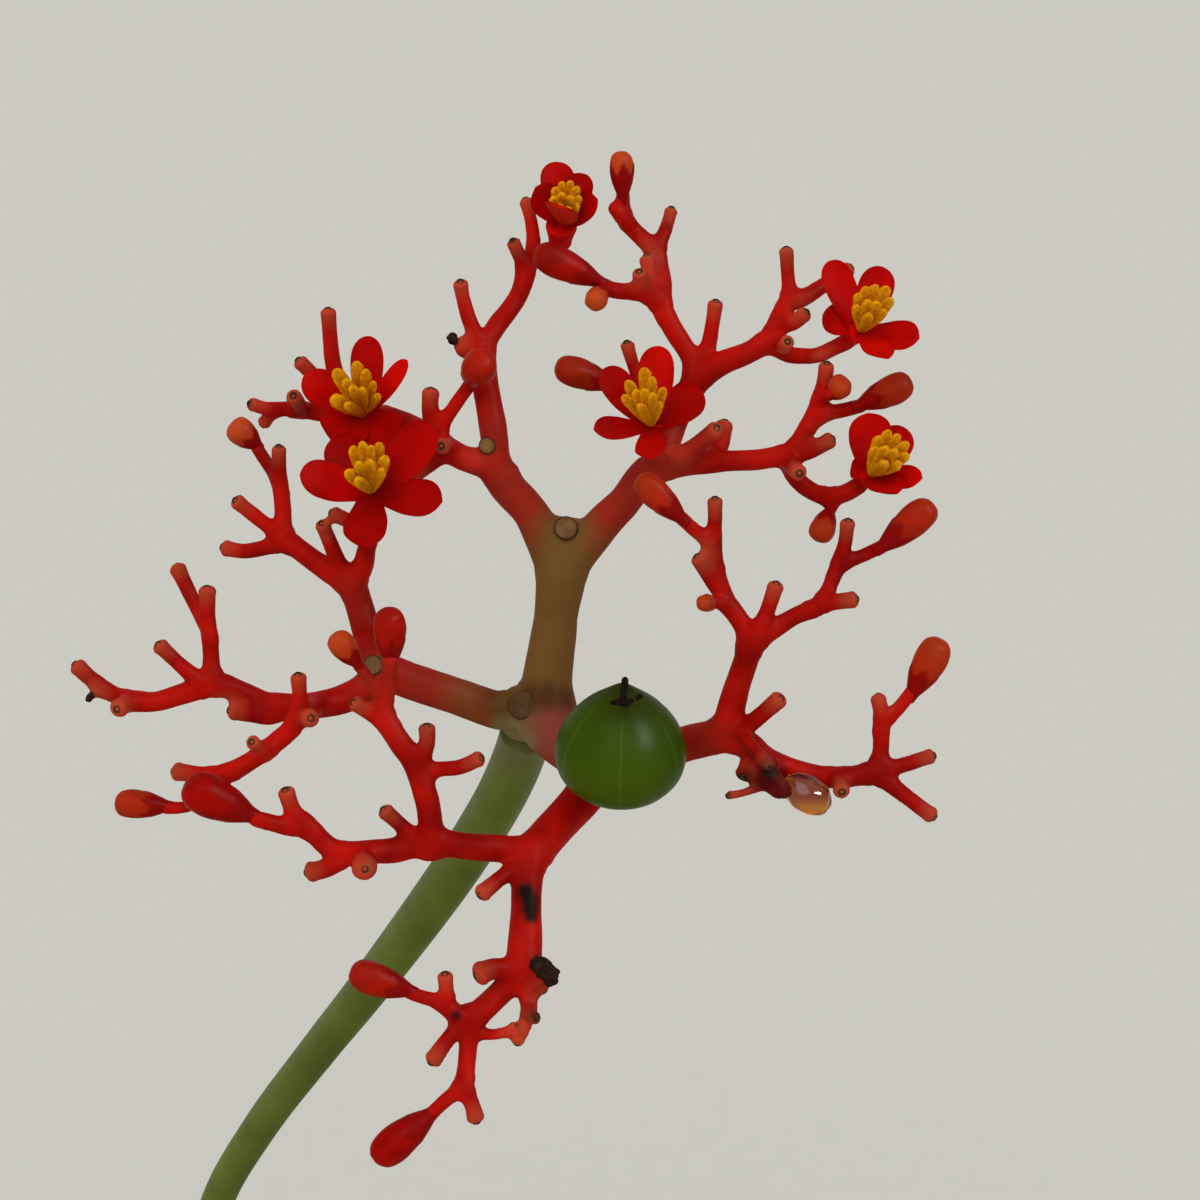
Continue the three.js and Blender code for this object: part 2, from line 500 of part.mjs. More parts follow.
// Closed buds on the head's limbs: base, tip and widest width on the plan
const BUDS = [
  { base: [472, 380, 11], tip: [483, 360, 17], width: 35 },
  { base: [258, 446, 5], tip: [231, 423, 6], width: 28 },
  { base: [612, 385, 6], tip: [556, 365, 8], width: 32 },
  { base: [860, 405, 10], tip: [912, 381, 11], width: 31 },
  { base: [830, 395, 11], tip: [846, 381, 14], width: 24 },
  { base: [830, 510, 9], tip: [818, 541, 10], width: 26 },
  { base: [598, 281, 8], tip: [535, 251, 10], width: 33 },
  { base: [602, 288, 8], tip: [593, 306, 10], width: 23 },
  { base: [623, 196, 7], tip: [621, 151, 8], width: 23 },
  { base: [168, 806, 12], tip: [115, 803, 12], width: 29 },
  { base: [680, 517, 20], tip: [638, 477, 21], width: 30 },
  { base: [884, 546, 18], tip: [934, 504, 19], width: 33 },
  { base: [914, 691, 15], tip: [942, 638, 16], width: 34 },
  { base: [391, 660, 22], tip: [388, 605, 24], width: 36 },
  { base: [358, 664, 22], tip: [332, 633, 23], width: 29 },
  { base: [258, 819, 20], tip: [184, 785, 22], width: 42 },
  { base: [410, 990, 22], tip: [349, 971, 23], width: 36 },
  { base: [430, 1115, 22], tip: [371, 1163, 22], width: 40 },
  { base: [714, 603, 17], tip: [702, 603, 22], width: 18 },
  { base: [535, 972, 19], tip: [559, 974, 23], width: 24 },
];

const NEARLY_STRAIGHT = 0.35; // millimetres off the line between a point's neighbours
const SUNK_ROOT = 0.7;
const BUD_PROFILE = [
  // share of the width, share of the length
  [0, 0],
  [0.42, 0],
  [0.74, 0.28],
  [1, 0.62],
  [0.74, 0.88],
  [0, 1],
];

// Thicker limbs are rounder.
const limbSides = (radius) => (radius > 1.8 ? 7 : 5);

// A run without the points that lie nearly on the line between their neighbours.
function straightened(run) {
  const kept = [run[0]];
  run.slice(1, -1).forEach((here, i) => {
    const point = onPlan(here);
    const line = new THREE.Line3(onPlan(kept.at(-1)), onPlan(run[i + 2]));
    const nearest = line.closestPointToPoint(point, true, new THREE.Vector3());
    if (nearest.distanceTo(point) > NEARLY_STRAIGHT) kept.push(here);
  });
  return [...kept, run.at(-1)];
}

// A limb's root is slimmer where it is sunk into the limb that it grows from.
function coralLimb(run, grow = 0) {
  const points = straightened(run);
  const radii = points.map(
    ([, , depth, width], i) => planRadius(width, depth) * (i ? 1 : SUNK_ROOT) + grow,
  );
  return solid(limb(points.map(onPlan), radii, limbSides(radii[0] - grow)));
}

function coralHead() {
  const runs = [
    ...HUB_LIMBS,
    ...UPPER_LEFT_LIMBS,
    ...UPPER_RIGHT_LIMBS,
    ...LEFT_LIMBS,
    ...RIGHT_LIMBS,
    ...LOWER_LIMBS,
  ];
  const buds = BUDS.map(({ base, tip, width }) =>
    solid(turned(BUD_PROFILE, 7, onPlan(base), onPlan(tip), 2 * planRadius(width, base[2]))),
  );
  return joined([...runs.map((run) => coralLimb(run)), ...buds]);
}

// Open flowers: a small cup, five petals that spread from it and a bundle of anthers

const PETAL_THICKNESS = 0.66;
const PETAL_FULLNESS = 1.06; // facets make a petal look narrower
const CUP_WIDTH = 27; // on the plan
const FLOWERS = [
  {
    base: [560, 243, 2.8],
    anthers: [566, 194, 9],
    petals: [
      { tip: [536, 187, 8], width: 30 },
      { tip: [556, 160, 4], width: 34 },
      { tip: [586, 172, 5], width: 30 },
      { tip: [599, 199, 8], width: 30 },
      { tip: [560, 212, 12], width: 28 },
    ],
  },
  {
    base: [371, 421, 5.4],
    anthers: [356, 388, 11],
    petals: [
      { tip: [305, 376, 8], width: 34 },
      { tip: [364, 334, 6], width: 34 },
      { tip: [403, 357, 7], width: 20 },
      { tip: [404, 428, 12], width: 26 },
      { tip: [318, 428, 11], width: 30 },
    ],
  },
  {
    base: [377, 508, 13],
    anthers: [366, 463, 21],
    petals: [
      { tip: [302, 478, 18], width: 40 },
      { tip: [328, 444, 16], width: 30 },
      { tip: [434, 432, 17], width: 46 },
      { tip: [441, 500, 18], width: 40 },
      { tip: [362, 546, 18], width: 38 },
    ],
  },
  {
    base: [661, 440, 13.3],
    anthers: [643, 396, 20],
    petals: [
      { tip: [604, 370, 17], width: 30 },
      { tip: [657, 345, 14], width: 34 },
      { tip: [702, 388, 15], width: 38 },
      { tip: [656, 457, 21], width: 30 },
      { tip: [594, 430, 19], width: 26 },
    ],
  },
  {
    base: [852, 337, 10],
    anthers: [872, 304, 16],
    petals: [
      { tip: [833, 261, 12], width: 32 },
      { tip: [889, 266, 11], width: 30 },
      { tip: [920, 337, 15], width: 30 },
      { tip: [878, 358, 16], width: 26 },
      { tip: [822, 318, 13], width: 24 },
    ],
  },
  {
    base: [865, 481, 11],
    anthers: [890, 451, 17],
    petals: [
      { tip: [866, 413, 13], width: 30 },
      { tip: [897, 424, 11], width: 26 },
      { tip: [919, 447, 13], width: 26 },
      { tip: [923, 479, 16], width: 24 },
      { tip: [882, 495, 18], width: 32 },
    ],
  },
];

const ANTHER_PROFILE = [
  // share of the width, share of the length: a thin foot that opens into the bundle
  [0, 0],
  [0.34, 0],
  [0.4, 0.35],
  [0.9, 0.62],
  [1, 0.82],
  [0.6, 1],
  [0, 1.02],
];
const ANTHER_WIDTH = 44; // on the plan
const THROAT = 0.5; // where the petals leave the cup, from the base to the anthers

function antherBundle({ base, anthers }, grow) {
  const from = onPlan(base);
  const middle = onPlan(anthers);
  const along = middle.clone().sub(from).normalize();
  const foot = from.clone().addScaledVector(along, 1.5 - grow);
  const top = middle.clone().addScaledVector(along, 2.2 + grow);
  return solid(turned(ANTHER_PROFILE, 7, foot, top, 2 * planRadius(ANTHER_WIDTH, base[2]) + 2 * grow));
}

// A petal bends out from the throat to its tip, widest at two thirds and slightly cupped.
function petal(flower, { tip, width }) {
  const base = onPlan(flower.base);
  const axis = onPlan(flower.anthers).sub(base);
  const axisWay = axis.clone().normalize();
  const end = onPlan(tip);
  const reach = end.clone().sub(base);
  const outward = reach.clone().addScaledVector(axisWay, -reach.dot(axisWay)).normalize();
  const sideways = new THREE.Vector3().crossVectors(axisWay, outward);
  const root = base.clone().addScaledVector(axisWay, 0.9).addScaledVector(outward, 1.25);
  const bend = base.clone().addScaledVector(axis, THROAT).addScaledVector(outward, 1.9);
  const curve = new THREE.QuadraticBezierCurve3(root, bend, end);
  const half = PETAL_FULLNESS * planRadius(width, tip[2]);
  const steps = 4;
  const blade = new THREE.BoxGeometry(2, 1, 1, 2, steps, 1);
  return mapVertices(blade, (p) => {
    const share = Math.sin(((p.y + 0.5) * Math.PI) / 2);
    const tangent = curve.getTangent(share);
    const inward = new THREE.Vector3().crossVectors(tangent, sideways).normalize();
    const spread = half * petalWidth(share);
    const cupped = 0.3 * spread * p.x ** 2;
    return curve
      .getPoint(share)
      .addScaledVector(sideways, p.x * spread)
      .addScaledVector(inward, -(p.z * PETAL_THICKNESS) - cupped);
  });
}

// Half-width of a petal along its length, as a share of the widest: a broad foot and a round tip.
function petalWidth(share) {
  const foot = 0.55 + 0.45 * Math.sin(Math.min(share / 0.62, 1) * (Math.PI / 2)) ** 2;
  const roundTip = Math.sqrt(Math.max(0, 1 - (Math.max(0, share - 0.5) / 0.51) ** 3));
  return foot * roundTip;
}

function flower(plan) {
  const base = onPlan(plan.base);
  const along = onPlan(plan.anthers).sub(base).normalize();
  const lip = base.clone().addScaledVector(along, 3.2);
  const cup = turned(
    [
      [0, 0],
      [0.5, 0],
      [1, 0.7],
      [0.9, 1],
      [0, 1],
    ],
    7,
    base,
    lip,
    2 * planRadius(CUP_WIDTH, plan.base[2]),
  );
  const petals = plan.petals.map((one) => solid(petal(plan, one)));
  return joined([solid(cup), ...petals]).subtract(antherBundle(plan, GAP));
}

// Fruit: a green three-lobed capsule, pointed where the withered style stands

const FRUIT_BASE = [619, 799.5, 14.6];
const FRUIT_TOP = [623, 683.5, 20.4];
const FRUIT_WIDTH = 133; // on the plan
const FRUIT_PROFILE = [
  [0, 0],
  [0.33, 0.01],
  [0.69, 0.1],
  [0.94, 0.25],
  [1, 0.38],
  [0.98, 0.49],
  [0.88, 0.63],
  [0.65, 0.79],
  [0.32, 0.925],
  [0.1, 0.985],
  [0, 1],
];
const FRUIT_LOBES = 3;

function fruit() {
  const from = onPlan(FRUIT_BASE);
  const to = onPlan(FRUIT_TOP);
  const along = to.clone().sub(from);
  const width = 2 * planRadius(FRUIT_WIDTH, FRUIT_BASE[2]);
  const body = new THREE.LatheGeometry(
    FRUIT_PROFILE.map(([r, t]) => new THREE.Vector2((r * width) / 2, t * along.length())),
    21,
  );
  const turn = new THREE.Quaternion().setFromUnitVectors(
    new THREE.Vector3(0, 1, 0),
    along.clone().normalize(),
  );
  mapVertices(body, (p) => {
    const lobe = 0.985 + 0.03 * Math.cos(FRUIT_LOBES * (Math.atan2(p.x, p.z) - 0.2));
    return new THREE.Vector3(p.x * lobe, p.y, p.z * lobe).applyQuaternion(turn).add(from);
  });
  return solid(body);
}

// The withered style: a short foot that forks in two over the fruit's tip.
function style() {
  const foot = onPlan([624, 681.5, 20.8]);
  const fork = onPlan([625, 675, 22]);
  const arms = [
    [onPlan([625, 677, 21.6]), onPlan([620, 675, 23.6])],
    [onPlan([625, 677, 21.6]), onPlan([629, 688, 24.4])],
  ];
  return joined([
    solid(limb([foot, fork], [0.5, 0.42], 5)),
    ...arms.map((arm) => solid(limb(arm, [0.42, 0.32], 5))),
  ]);
}

// Amber drop of sap that clings under the right limb.
function sapDrop() {
  const centre = onPlan([808, 795, 13.6]);
  const drop = mapVertices(new THREE.SphereGeometry(1, 12, 8), (p) =>
    centre
      .clone()
      .addScaledVector(ACROSS, p.x * 2.7)
      .addScaledVector(UP_PLAN, p.y * 2.1 - 0.25 * p.x)
      .addScaledVector(TO_EYE, p.z * 1.8),
  );
  return solid(drop).subtract(coralLimb(SAP_LIMB, 1.4 * GAP));
}

// The whole plant

const MATERIALS = {
  clay: new THREE.MeshStandardMaterial({ color: 0xb5653c, roughness: 0.9 }),
  earth: new THREE.MeshStandardMaterial({ color: 0x3a2a1e, roughness: 1 }),
  bark: new THREE.MeshStandardMaterial({ color: 0x8c8268, roughness: 0.85 }),
  leaf: new THREE.MeshStandardMaterial({ color: 0x3f6b2a, roughness: 0.5, side: THREE.DoubleSide }),
  stalk: new THREE.MeshStandardMaterial({ color: 0x4c5a1c, roughness: 0.5 }),
  coral: new THREE.MeshStandardMaterial({ color: 0xa01810, roughness: 0.45 }),
  petal: new THREE.MeshStandardMaterial({ color: 0xb00604, roughness: 0.5 }),
  anther: new THREE.MeshStandardMaterial({ color: 0xbf7408, roughness: 0.7 }),
  fruit: new THREE.MeshStandardMaterial({ color: 0x37490a, roughness: 0.25 }),
  withered: new THREE.MeshStandardMaterial({ color: 0x1c100a, roughness: 0.9 }),
  sap: new THREE.MeshStandardMaterial({ color: 0xc07a2c, roughness: 0.1 }),
};

const plant = new THREE.Group();

function add(name, manifold, material) {
  const mesh = new THREE.Mesh(geometryOf(manifold), material);
  mesh.name = name;
  plant.add(mesh);
}

add("pot", pot(32), MATERIALS.clay);
add("soil", soil(24), MATERIALS.earth);
add("stem", swollenStem(0), MATERIALS.bark);
LEAVES.forEach((one, i) => add(`leaf_${i + 1}`, leaf(one), MATERIALS.leaf));
add("flower_stalk", flowerStalk(), MATERIALS.stalk);
add("coral_head", coralHead(), MATERIALS.coral);
FLOWERS.forEach((one, i) => {
  add(`flower_${i + 1}`, flower(one), MATERIALS.petal);
  add(`anthers_${i + 1}`, antherBundle(one, 0), MATERIALS.anther);
});
add("fruit", fruit(), MATERIALS.fruit);
add("style", style(), MATERIALS.withered);
add("sap_drop", sapDrop(), MATERIALS.sap);

export default plant;
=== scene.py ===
import math

import bpy
import numpy as np
from mathutils import Matrix


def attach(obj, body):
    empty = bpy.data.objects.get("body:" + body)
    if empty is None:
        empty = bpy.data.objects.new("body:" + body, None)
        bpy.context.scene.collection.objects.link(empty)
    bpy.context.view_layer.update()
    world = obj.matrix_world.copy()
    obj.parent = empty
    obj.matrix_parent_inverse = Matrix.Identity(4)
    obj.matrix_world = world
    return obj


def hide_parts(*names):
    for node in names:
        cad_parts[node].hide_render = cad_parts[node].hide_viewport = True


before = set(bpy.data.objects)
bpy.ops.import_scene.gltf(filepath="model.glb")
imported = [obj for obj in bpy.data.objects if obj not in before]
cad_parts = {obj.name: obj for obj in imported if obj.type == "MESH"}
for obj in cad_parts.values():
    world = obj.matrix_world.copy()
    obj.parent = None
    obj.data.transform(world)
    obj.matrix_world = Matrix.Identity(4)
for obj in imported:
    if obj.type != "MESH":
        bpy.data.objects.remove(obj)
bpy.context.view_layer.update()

# Camera
# The flower head is laid out on a square plan of 1200 units that stands in front of the eye.
# The camera looks 25 degrees down along the plan's axis from 300 mm.

MM = 0.001
PLAN_UNITS = 1200
PLAN_MIDDLE = PLAN_UNITS / 2
PLAN_WIDTH = 136.8 * MM
PLAN_EYE = 300 * MM
PLAN_TILT = math.radians(25)
UNIT = PLAN_WIDTH / PLAN_UNITS
HUB = np.array([58, -70, 478]) * MM
HUB_ON_PLAN = (522, 705)
ACROSS = np.array([1.0, 0.0, 0.0])
UP_PLAN = np.array([0.0, math.sin(PLAN_TILT), math.cos(PLAN_TILT)])
TO_EYE = np.array([0.0, -math.cos(PLAN_TILT), math.sin(PLAN_TILT)])
PLAN_CENTRE = (
    HUB
    + ACROSS * (PLAN_MIDDLE - HUB_ON_PLAN[0]) * UNIT
    + UP_PLAN * (HUB_ON_PLAN[1] - PLAN_MIDDLE) * UNIT
)
SENSOR_WIDTH = 36


def placed(name, data, axes=None):
    """A new object in the scene. axes holds its side, its up, its rear and its place."""
    obj = bpy.data.objects.new(name, data)
    bpy.context.scene.collection.objects.link(obj)
    if axes is not None:
        obj.matrix_world = Matrix(np.column_stack([axes, [0, 0, 0, 1]]).T.tolist())
    return obj


eye = bpy.data.cameras.new("Camera")
eye.sensor_width = SENSOR_WIDTH
eye.sensor_fit = "HORIZONTAL"
eye.lens = SENSOR_WIDTH * PLAN_EYE / PLAN_WIDTH
eye.clip_start = 10 * MM
eye_place = PLAN_CENTRE + TO_EYE * PLAN_EYE
bpy.context.scene.camera = placed("Camera", eye, [ACROSS, UP_PLAN, TO_EYE, eye_place])


def on_plan(places):
    """Points in metres from plan places (across, down, millimetres from the hub's plane to the eye).

    A place nearer to the eye is drawn in towards the eye's axis, so that it keeps its spot in view.
    """
    across, down, depth = np.moveaxis(np.asarray(places, float), -1, 0)
    depth = depth * MM
    scale = UNIT * (1 - depth / PLAN_EYE)
    return (
        PLAN_CENTRE
        + np.multiply.outer((across - PLAN_MIDDLE) * scale, ACROSS)
        + np.multiply.outer((PLAN_MIDDLE - down) * scale, UP_PLAN)
        + np.multiply.outer(depth, TO_EYE)
    )


def plan_radius(width, depth):
    """Half of a width on the plan, in metres, at a depth in millimetres."""
    return np.asarray(width) / 2 * UNIT * (1 - np.asarray(depth) * MM / PLAN_EYE)


def seen_on_plan(points):
    """The across and down of points in metres, the other way round from on_plan."""
    from_centre = points - PLAN_CENTRE
    scale = UNIT * (1 - from_centre @ TO_EYE / PLAN_EYE)
    across = PLAN_MIDDLE + from_centre @ ACROSS / scale
    down = PLAN_MIDDLE - from_centre @ UP_PLAN / scale
    return np.stack([across, down], -1)


# Floor and light
# A plain studio: a wide pale floor, an even pale sky, a broad soft sun, and one window-like panel
# in front of the plant and to the right. None of it is part of the plant.

FLOOR_HALF = 10.0
SKY = (1.0, 0.99, 0.97)
SKY_STRENGTH = 0.6
SUN_STRENGTH = 1.12
SUN_ANGLE = math.radians(50)
SUN_TURN = (math.radians(38), math.radians(-14), 0)
PANEL_SIZE = 0.24
PANEL_DISTANCE = 0.75
PANEL_BEARING = math.radians(50)
PANEL_RISE = math.radians(26)
PANEL_WATTS = 6.5


def shade(red, green, blue):
    """A colour picked on a 0 to 255 scale, as the linear values that shaders mix."""
    picked = np.array([red, green, blue]) / 255
    linear = np.where(picked <= 0.04045, picked / 12.92, ((picked + 0.055) / 1.055) ** 2.4)
    return (*linear.tolist(), 1.0)


def node(tree, kind, inputs=(), **settings):
    """The outputs of a new shader node. Each input gets a value, or the socket that feeds it."""
    made = tree.nodes.new(kind)
    for name, value in settings.items():
        setattr(made, name, value)
    for key, value in dict(inputs).items():
        if isinstance(value, bpy.types.NodeSocket):
            tree.links.new(value, made.inputs[key])
        else:
            made.inputs[key].default_value = value
    return made.outputs


def blended(tree, part, under, over):
    """Two colours mixed: all under at part 0, all over at part 1."""
    return node(tree, "ShaderNodeMix", {0: part, 6: under, 7: over}, data_type="RGBA")[2]


def mottle_group():
    """Shader group: two colours that run into each other in soft patches of a given size.

    It also puts out a finer height, for a bump.
    """
    tree = bpy.data.node_groups.new("Mottle", "ShaderNodeTree")
    for name, way, kind in (
        ("Colour", "INPUT", "Color"),
        ("Second colour", "INPUT", "Color"),
        ("Size", "INPUT", "Float"),
        ("Colour", "OUTPUT", "Color"),
        ("Height", "OUTPUT", "Float"),
    ):
        tree.interface.new_socket(name, in_out=way, socket_type="NodeSocket" + kind)
    given = node(tree, "NodeGroupInput")
    where = node(tree, "ShaderNodeTexCoord")["Object"]
    scale = node(tree, "ShaderNodeMath", {0: 1.0, 1: given["Size"]}, operation="DIVIDE")[0]
    patches = node(tree, "ShaderNodeTexNoise", {"Vector": where, "Scale": scale, "Detail": 5.0})
    soft_edge = {"Value": patches["Fac"], "From Min": 0.35, "From Max": 0.65}
    part = node(tree, "ShaderNodeMapRange", soft_edge)["Result"]
    finer = node(tree, "ShaderNodeMath", {0: scale, 1: 5.0}, operation="MULTIPLY")[0]
    grain = node(tree, "ShaderNodeTexNoise", {"Vector": where, "Scale": finer, "Detail": 4.0})
    colour = blended(tree, part, given["Colour"], given["Second colour"])
    node(tree, "NodeGroupOutput", {"Colour": colour, "Height": grain["Fac"]})
    return tree


MOTTLE = mottle_group()


def finish(name, colour, second, size, bump=0.0, roughness=0.5, coat=0.0, gleam=0.4):
    """A material mottled between two colours in patches of a size, with a grain of a bump height.

    gleam is the strength of its mirror-like reflection.
    """
    made = bpy.data.materials.new(name)
    made.use_nodes = True
    tree = made.node_tree
    mottle = {"Colour": shade(*colour), "Second colour": shade(*second), "Size": size}
    patch = node(tree, "ShaderNodeGroup", mottle, node_tree=MOTTLE)
    relief = node(tree, "ShaderNodeBump", {"Distance": bump, "Height": patch["Height"]})
    shader = tree.nodes["Principled BSDF"].inputs
    tree.links.new(patch["Colour"], shader["Base Color"])
    tree.links.new(relief["Normal"], shader["Normal"])
    shader["Roughness"].default_value = roughness
    shader["Coat Weight"].default_value = coat
    shader["Coat Roughness"].default_value = 0.2
    shader["Specular IOR Level"].default_value = gleam
    return made


def stain(made, attribute, colour, strength=1.0):
    """Lays a colour over a material where the piece's attribute says, from 0 for none to 1."""
    tree = made.node_tree
    target = tree.nodes["Principled BSDF"].inputs["Base Color"]
    mask = node(tree, "ShaderNodeAttribute", attribute_name=attribute)["Fac"]
    part = node(tree, "ShaderNodeMath", {0: mask, 1: strength}, operation="MULTIPLY")[0]
    under = target.links[0].from_socket
    tree.links.new(blended(tree, part, under, shade(*colour)), target)


def mesh_of(name, points, faces):
    """A mesh from arrays of points and faces."""
    mesh = bpy.data.meshes.new(name)
    mesh.from_pydata(points.tolist(), [], faces.tolist())
    return mesh


world = bpy.data.worlds.new("Sky")
world.use_nodes = True
world.node_tree.nodes["Background"].inputs["Color"].default_value = (*SKY, 1)
world.node_tree.nodes["Background"].inputs["Strength"].default_value = SKY_STRENGTH
bpy.context.scene.world = world
bpy.context.scene.view_settings.view_transform = "Standard"

sun = bpy.data.lights.new("Sun", "SUN")
sun.energy = SUN_STRENGTH
sun.angle = SUN_ANGLE
placed("Sun", sun).rotation_euler = SUN_TURN

panel = bpy.data.lights.new("Panel", "AREA")
panel.shape = "DISK"
panel.size = PANEL_SIZE
panel.energy = PANEL_WATTS
level = math.sin(PANEL_BEARING) * ACROSS + math.cos(PANEL_BEARING) * TO_EYE
way = math.cos(PANEL_RISE) * level + math.sin(PANEL_RISE) * UP_PLAN
side = np.cross(UP_PLAN, level)
panel_axes = [side, np.cross(way, side), way, HUB + way * PANEL_DISTANCE]
placed("Panel", panel, panel_axes).visible_diffuse = False

corners = np.array([[-1, -1, 0], [1, -1, 0], [1, 1, 0], [-1, 1, 0]]) * FLOOR_HALF
floor = placed("Floor", mesh_of("Floor", corners, np.array([[0, 1, 2, 3]])))
floor.data.materials.append(
    finish("Pale_floor", (217, 216, 208), (215, 214, 206), 10 * MM, roughness=0.95, gleam=0.1)
)

# Clay pot
# A thrown terracotta pot with a heavy rim band and four drain holes, dry outside and paler below.
# The soil fills it to 18 mm under the rim.

POT_HEIGHT = 115 * MM
POT_RIM_RADIUS = 66 * MM
POT_FOOT_RADIUS = 45 * MM
POT_WALL = 6 * MM
POT_FLOOR = 9 * MM
POT_BAND = 24 * MM
BAND_STEP = 3.5 * MM
DRAIN_RADIUS = 4.5 * MM
DRAIN_CIRCLE = 24 * MM
DRAIN_SIDES = 24
POT_SIDES = 128
POT_EDGE = 2.2 * MM
BAND_TAPER = 1.2 * MM
MIDDLE_RING = 1 * MM
CHALK_LINE = 22 * MM
CHALK_FADE = 14 * MM
POT_SLOPE = (POT_RIM_RADIUS - BAND_STEP - POT_FOOT_RADIUS) / POT_HEIGHT


def unit(vectors):
    """The same directions, one long."""
    return vectors / np.linalg.norm(vectors, axis=-1, keepdims=True)


def around(sides):
    """The angles of the sides of a ring."""
    return np.arange(sides) * 2 * np.pi / sides


def closed(rings, **values):
    """A closed skin over rings (rings, sides, 3): points, triangles and each point's values.

    Each square between two rings is two triangles, and a fan to a point in the middle of the
    first and last ring closes the ends. Triangles are turned round if they enclose less than 0.
    A value is given for the rings, and then for the middle of the first and of the last.
    """
    count, sides, _ = rings.shape
    points = np.vstack([rings.reshape(-1, 3), rings[0].mean(0), rings[-1].mean(0)])
    index = np.arange(count * sides).reshape(count, sides)
    low, high = index[:-1], index[1:]
    low_next, high_next = np.roll(low, -1, 1), np.roll(high, -1, 1)
    first, last = index[0], index[-1]
    triangles = np.vstack(
        [
            np.stack([low, low_next, high_next], -1).reshape(-1, 3),
            np.stack([low, high_next, high], -1).reshape(-1, 3),
            np.stack([np.full(sides, count * sides), np.roll(first, -1), first], -1),
            np.stack([np.full(sides, count * sides + 1), last, np.roll(last, -1)], -1),
        ]
    )
    corner = points[triangles] - points.mean(0)
    volume = np.einsum("ij,ij->i", corner[:, 0], np.cross(corner[:, 1], corner[:, 2])).sum()
    held = {
        name: np.append(np.broadcast_to(number, (count, sides)), ends)
        for name, (number, *ends) in values.items()
    }
    return points, triangles if volume > 0 else triangles[:, ::-1], held


def heaped(shapes):
    """Several shapes as one. A value that only some of them have is 0 on the others."""
    shifts = np.cumsum([0] + [len(points) for points, _, _ in shapes[:-1]])
    points = np.vstack([points for points, _, _ in shapes])
    triangles = np.vstack([faces + shift for (_, faces, _), shift in zip(shapes, shifts)])
    held = {
        name: np.concatenate([own.get(name, np.zeros(len(spots))) for spots, _, own in shapes])
        for name in shapes[0][2]
    }
    return points, triangles, held


def piece(name, shape, made, slot, *nodes):
    """A finished piece of the plant: smooth shaded, riding on the plant, in place of CAD nodes."""
    points, triangles, held = shape
    mesh = mesh_of(name, points, triangles)
    mesh.polygons.foreach_set("use_smooth", np.ones(len(triangles), bool))
    for label, values in held.items():
        kept = mesh.attributes.new(label, "FLOAT", "POINT")
        kept.data.foreach_set("value", values.astype(np.float32))
    mesh.materials.append(made)
    obj = placed(name, mesh)
    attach(obj, "root")
    if nodes:
        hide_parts(*nodes)
    return obj


def turned(radii, heights, sides, sway=None):
    """Rings of a lathe round the Z axis: a circle of each radius at each height.

    sway, where given, turns (angle, height) into a factor on the radius.
    """
    angle = around(sides)
    radii = np.asarray(radii, float)[:, None] * np.ones(sides)
    heights = np.asarray(heights, float)[:, None] * np.ones(sides)
    if sway is not None:
        radii = radii * sway(angle, heights)
    return np.stack([radii * np.cos(angle), radii * np.sin(angle), heights], -1)


def rounded(corners, edge, steps=5):
    """A profile with its corners rounded: a quadratic bend that starts and ends edge away."""
    corners = np.asarray(corners, float)
    before, here, after = corners[:-2], corners[1:-1], corners[2:]
    lengths = [np.linalg.norm(other - here, axis=1) for other in (before, after)]
    reach = np.minimum(edge, 0.45 * np.minimum(*lengths))[:, None]
    enter = here + reach * unit(before - here)
    leave = here + reach * unit(after - here)
    t = np.linspace(0, 1, steps)[None, :, None]
    bend = (1 - t) ** 2 * enter[:, None] + 2 * t * (1 - t) * here[:, None] + t**2 * leave[:, None]
    return np.vstack([corners[0], bend.reshape(-1, 2), corners[-1]])


def outer_radius(z):
    """The pot's tapering outside."""
    return POT_FOOT_RADIUS + POT_SLOPE * z


band_foot = POT_HEIGHT - POT_BAND
pot_corners = [
    [MIDDLE_RING, 0],
    [POT_FOOT_RADIUS, 0],
    [outer_radius(band_foot), band_foot],
    [POT_RIM_RADIUS - BAND_TAPER, band_foot],
    [POT_RIM_RADIUS, POT_HEIGHT],
    [outer_radius(POT_HEIGHT) - POT_WALL, POT_HEIGHT],
    [outer_radius(POT_FLOOR) - POT_WALL, POT_FLOOR],
    [MIDDLE_RING, POT_FLOOR],
]
pot_rings = turned(*rounded(pot_corners, POT_EDGE).T, POT_SIDES)
angle = np.arctan2(pot_rings[..., 1], pot_rings[..., 0])
chalk_line = CHALK_LINE + 7 * MM * np.sin(3 * angle + 1) + 4 * MM * np.sin(7 * angle)
chalk = np.clip((chalk_line - pot_rings[..., 2]) / CHALK_FADE, 0, 1)
terracotta = finish(
    "Terracotta", (186, 104, 66), (164, 84, 52), 14 * MM, bump=0.25 * MM, roughness=0.88
)
stain(terracotta, "chalk", (206, 186, 164), 0.65)
pot = piece("clay_pot", closed(pot_rings, chalk=(chalk, 1, 1)), terracotta, "clay", "pot")
for quarter in range(4):
    turn = (quarter + 0.5) * math.pi / 2
    place = np.array([math.cos(turn), math.sin(turn), 0]) * DRAIN_CIRCLE
    bore = turned([DRAIN_RADIUS] * 2, [-POT_FLOOR, 2 * POT_FLOOR], DRAIN_SIDES)
    points, faces, _ = closed(bore)
    drill_bit = placed("Drain", mesh_of("Drain", points + place, faces))
    hole = pot.modifiers.new("Drain", "BOOLEAN")
    hole.operation = "DIFFERENCE"
    hole.object = drill_bit
    cut = bpy.data.meshes.new_from_object(pot.evaluated_get(bpy.context.evaluated_depsgraph_get()))
    pot.modifiers.clear()
    pot.data = cut
    bpy.data.objects.remove(drill_bit)

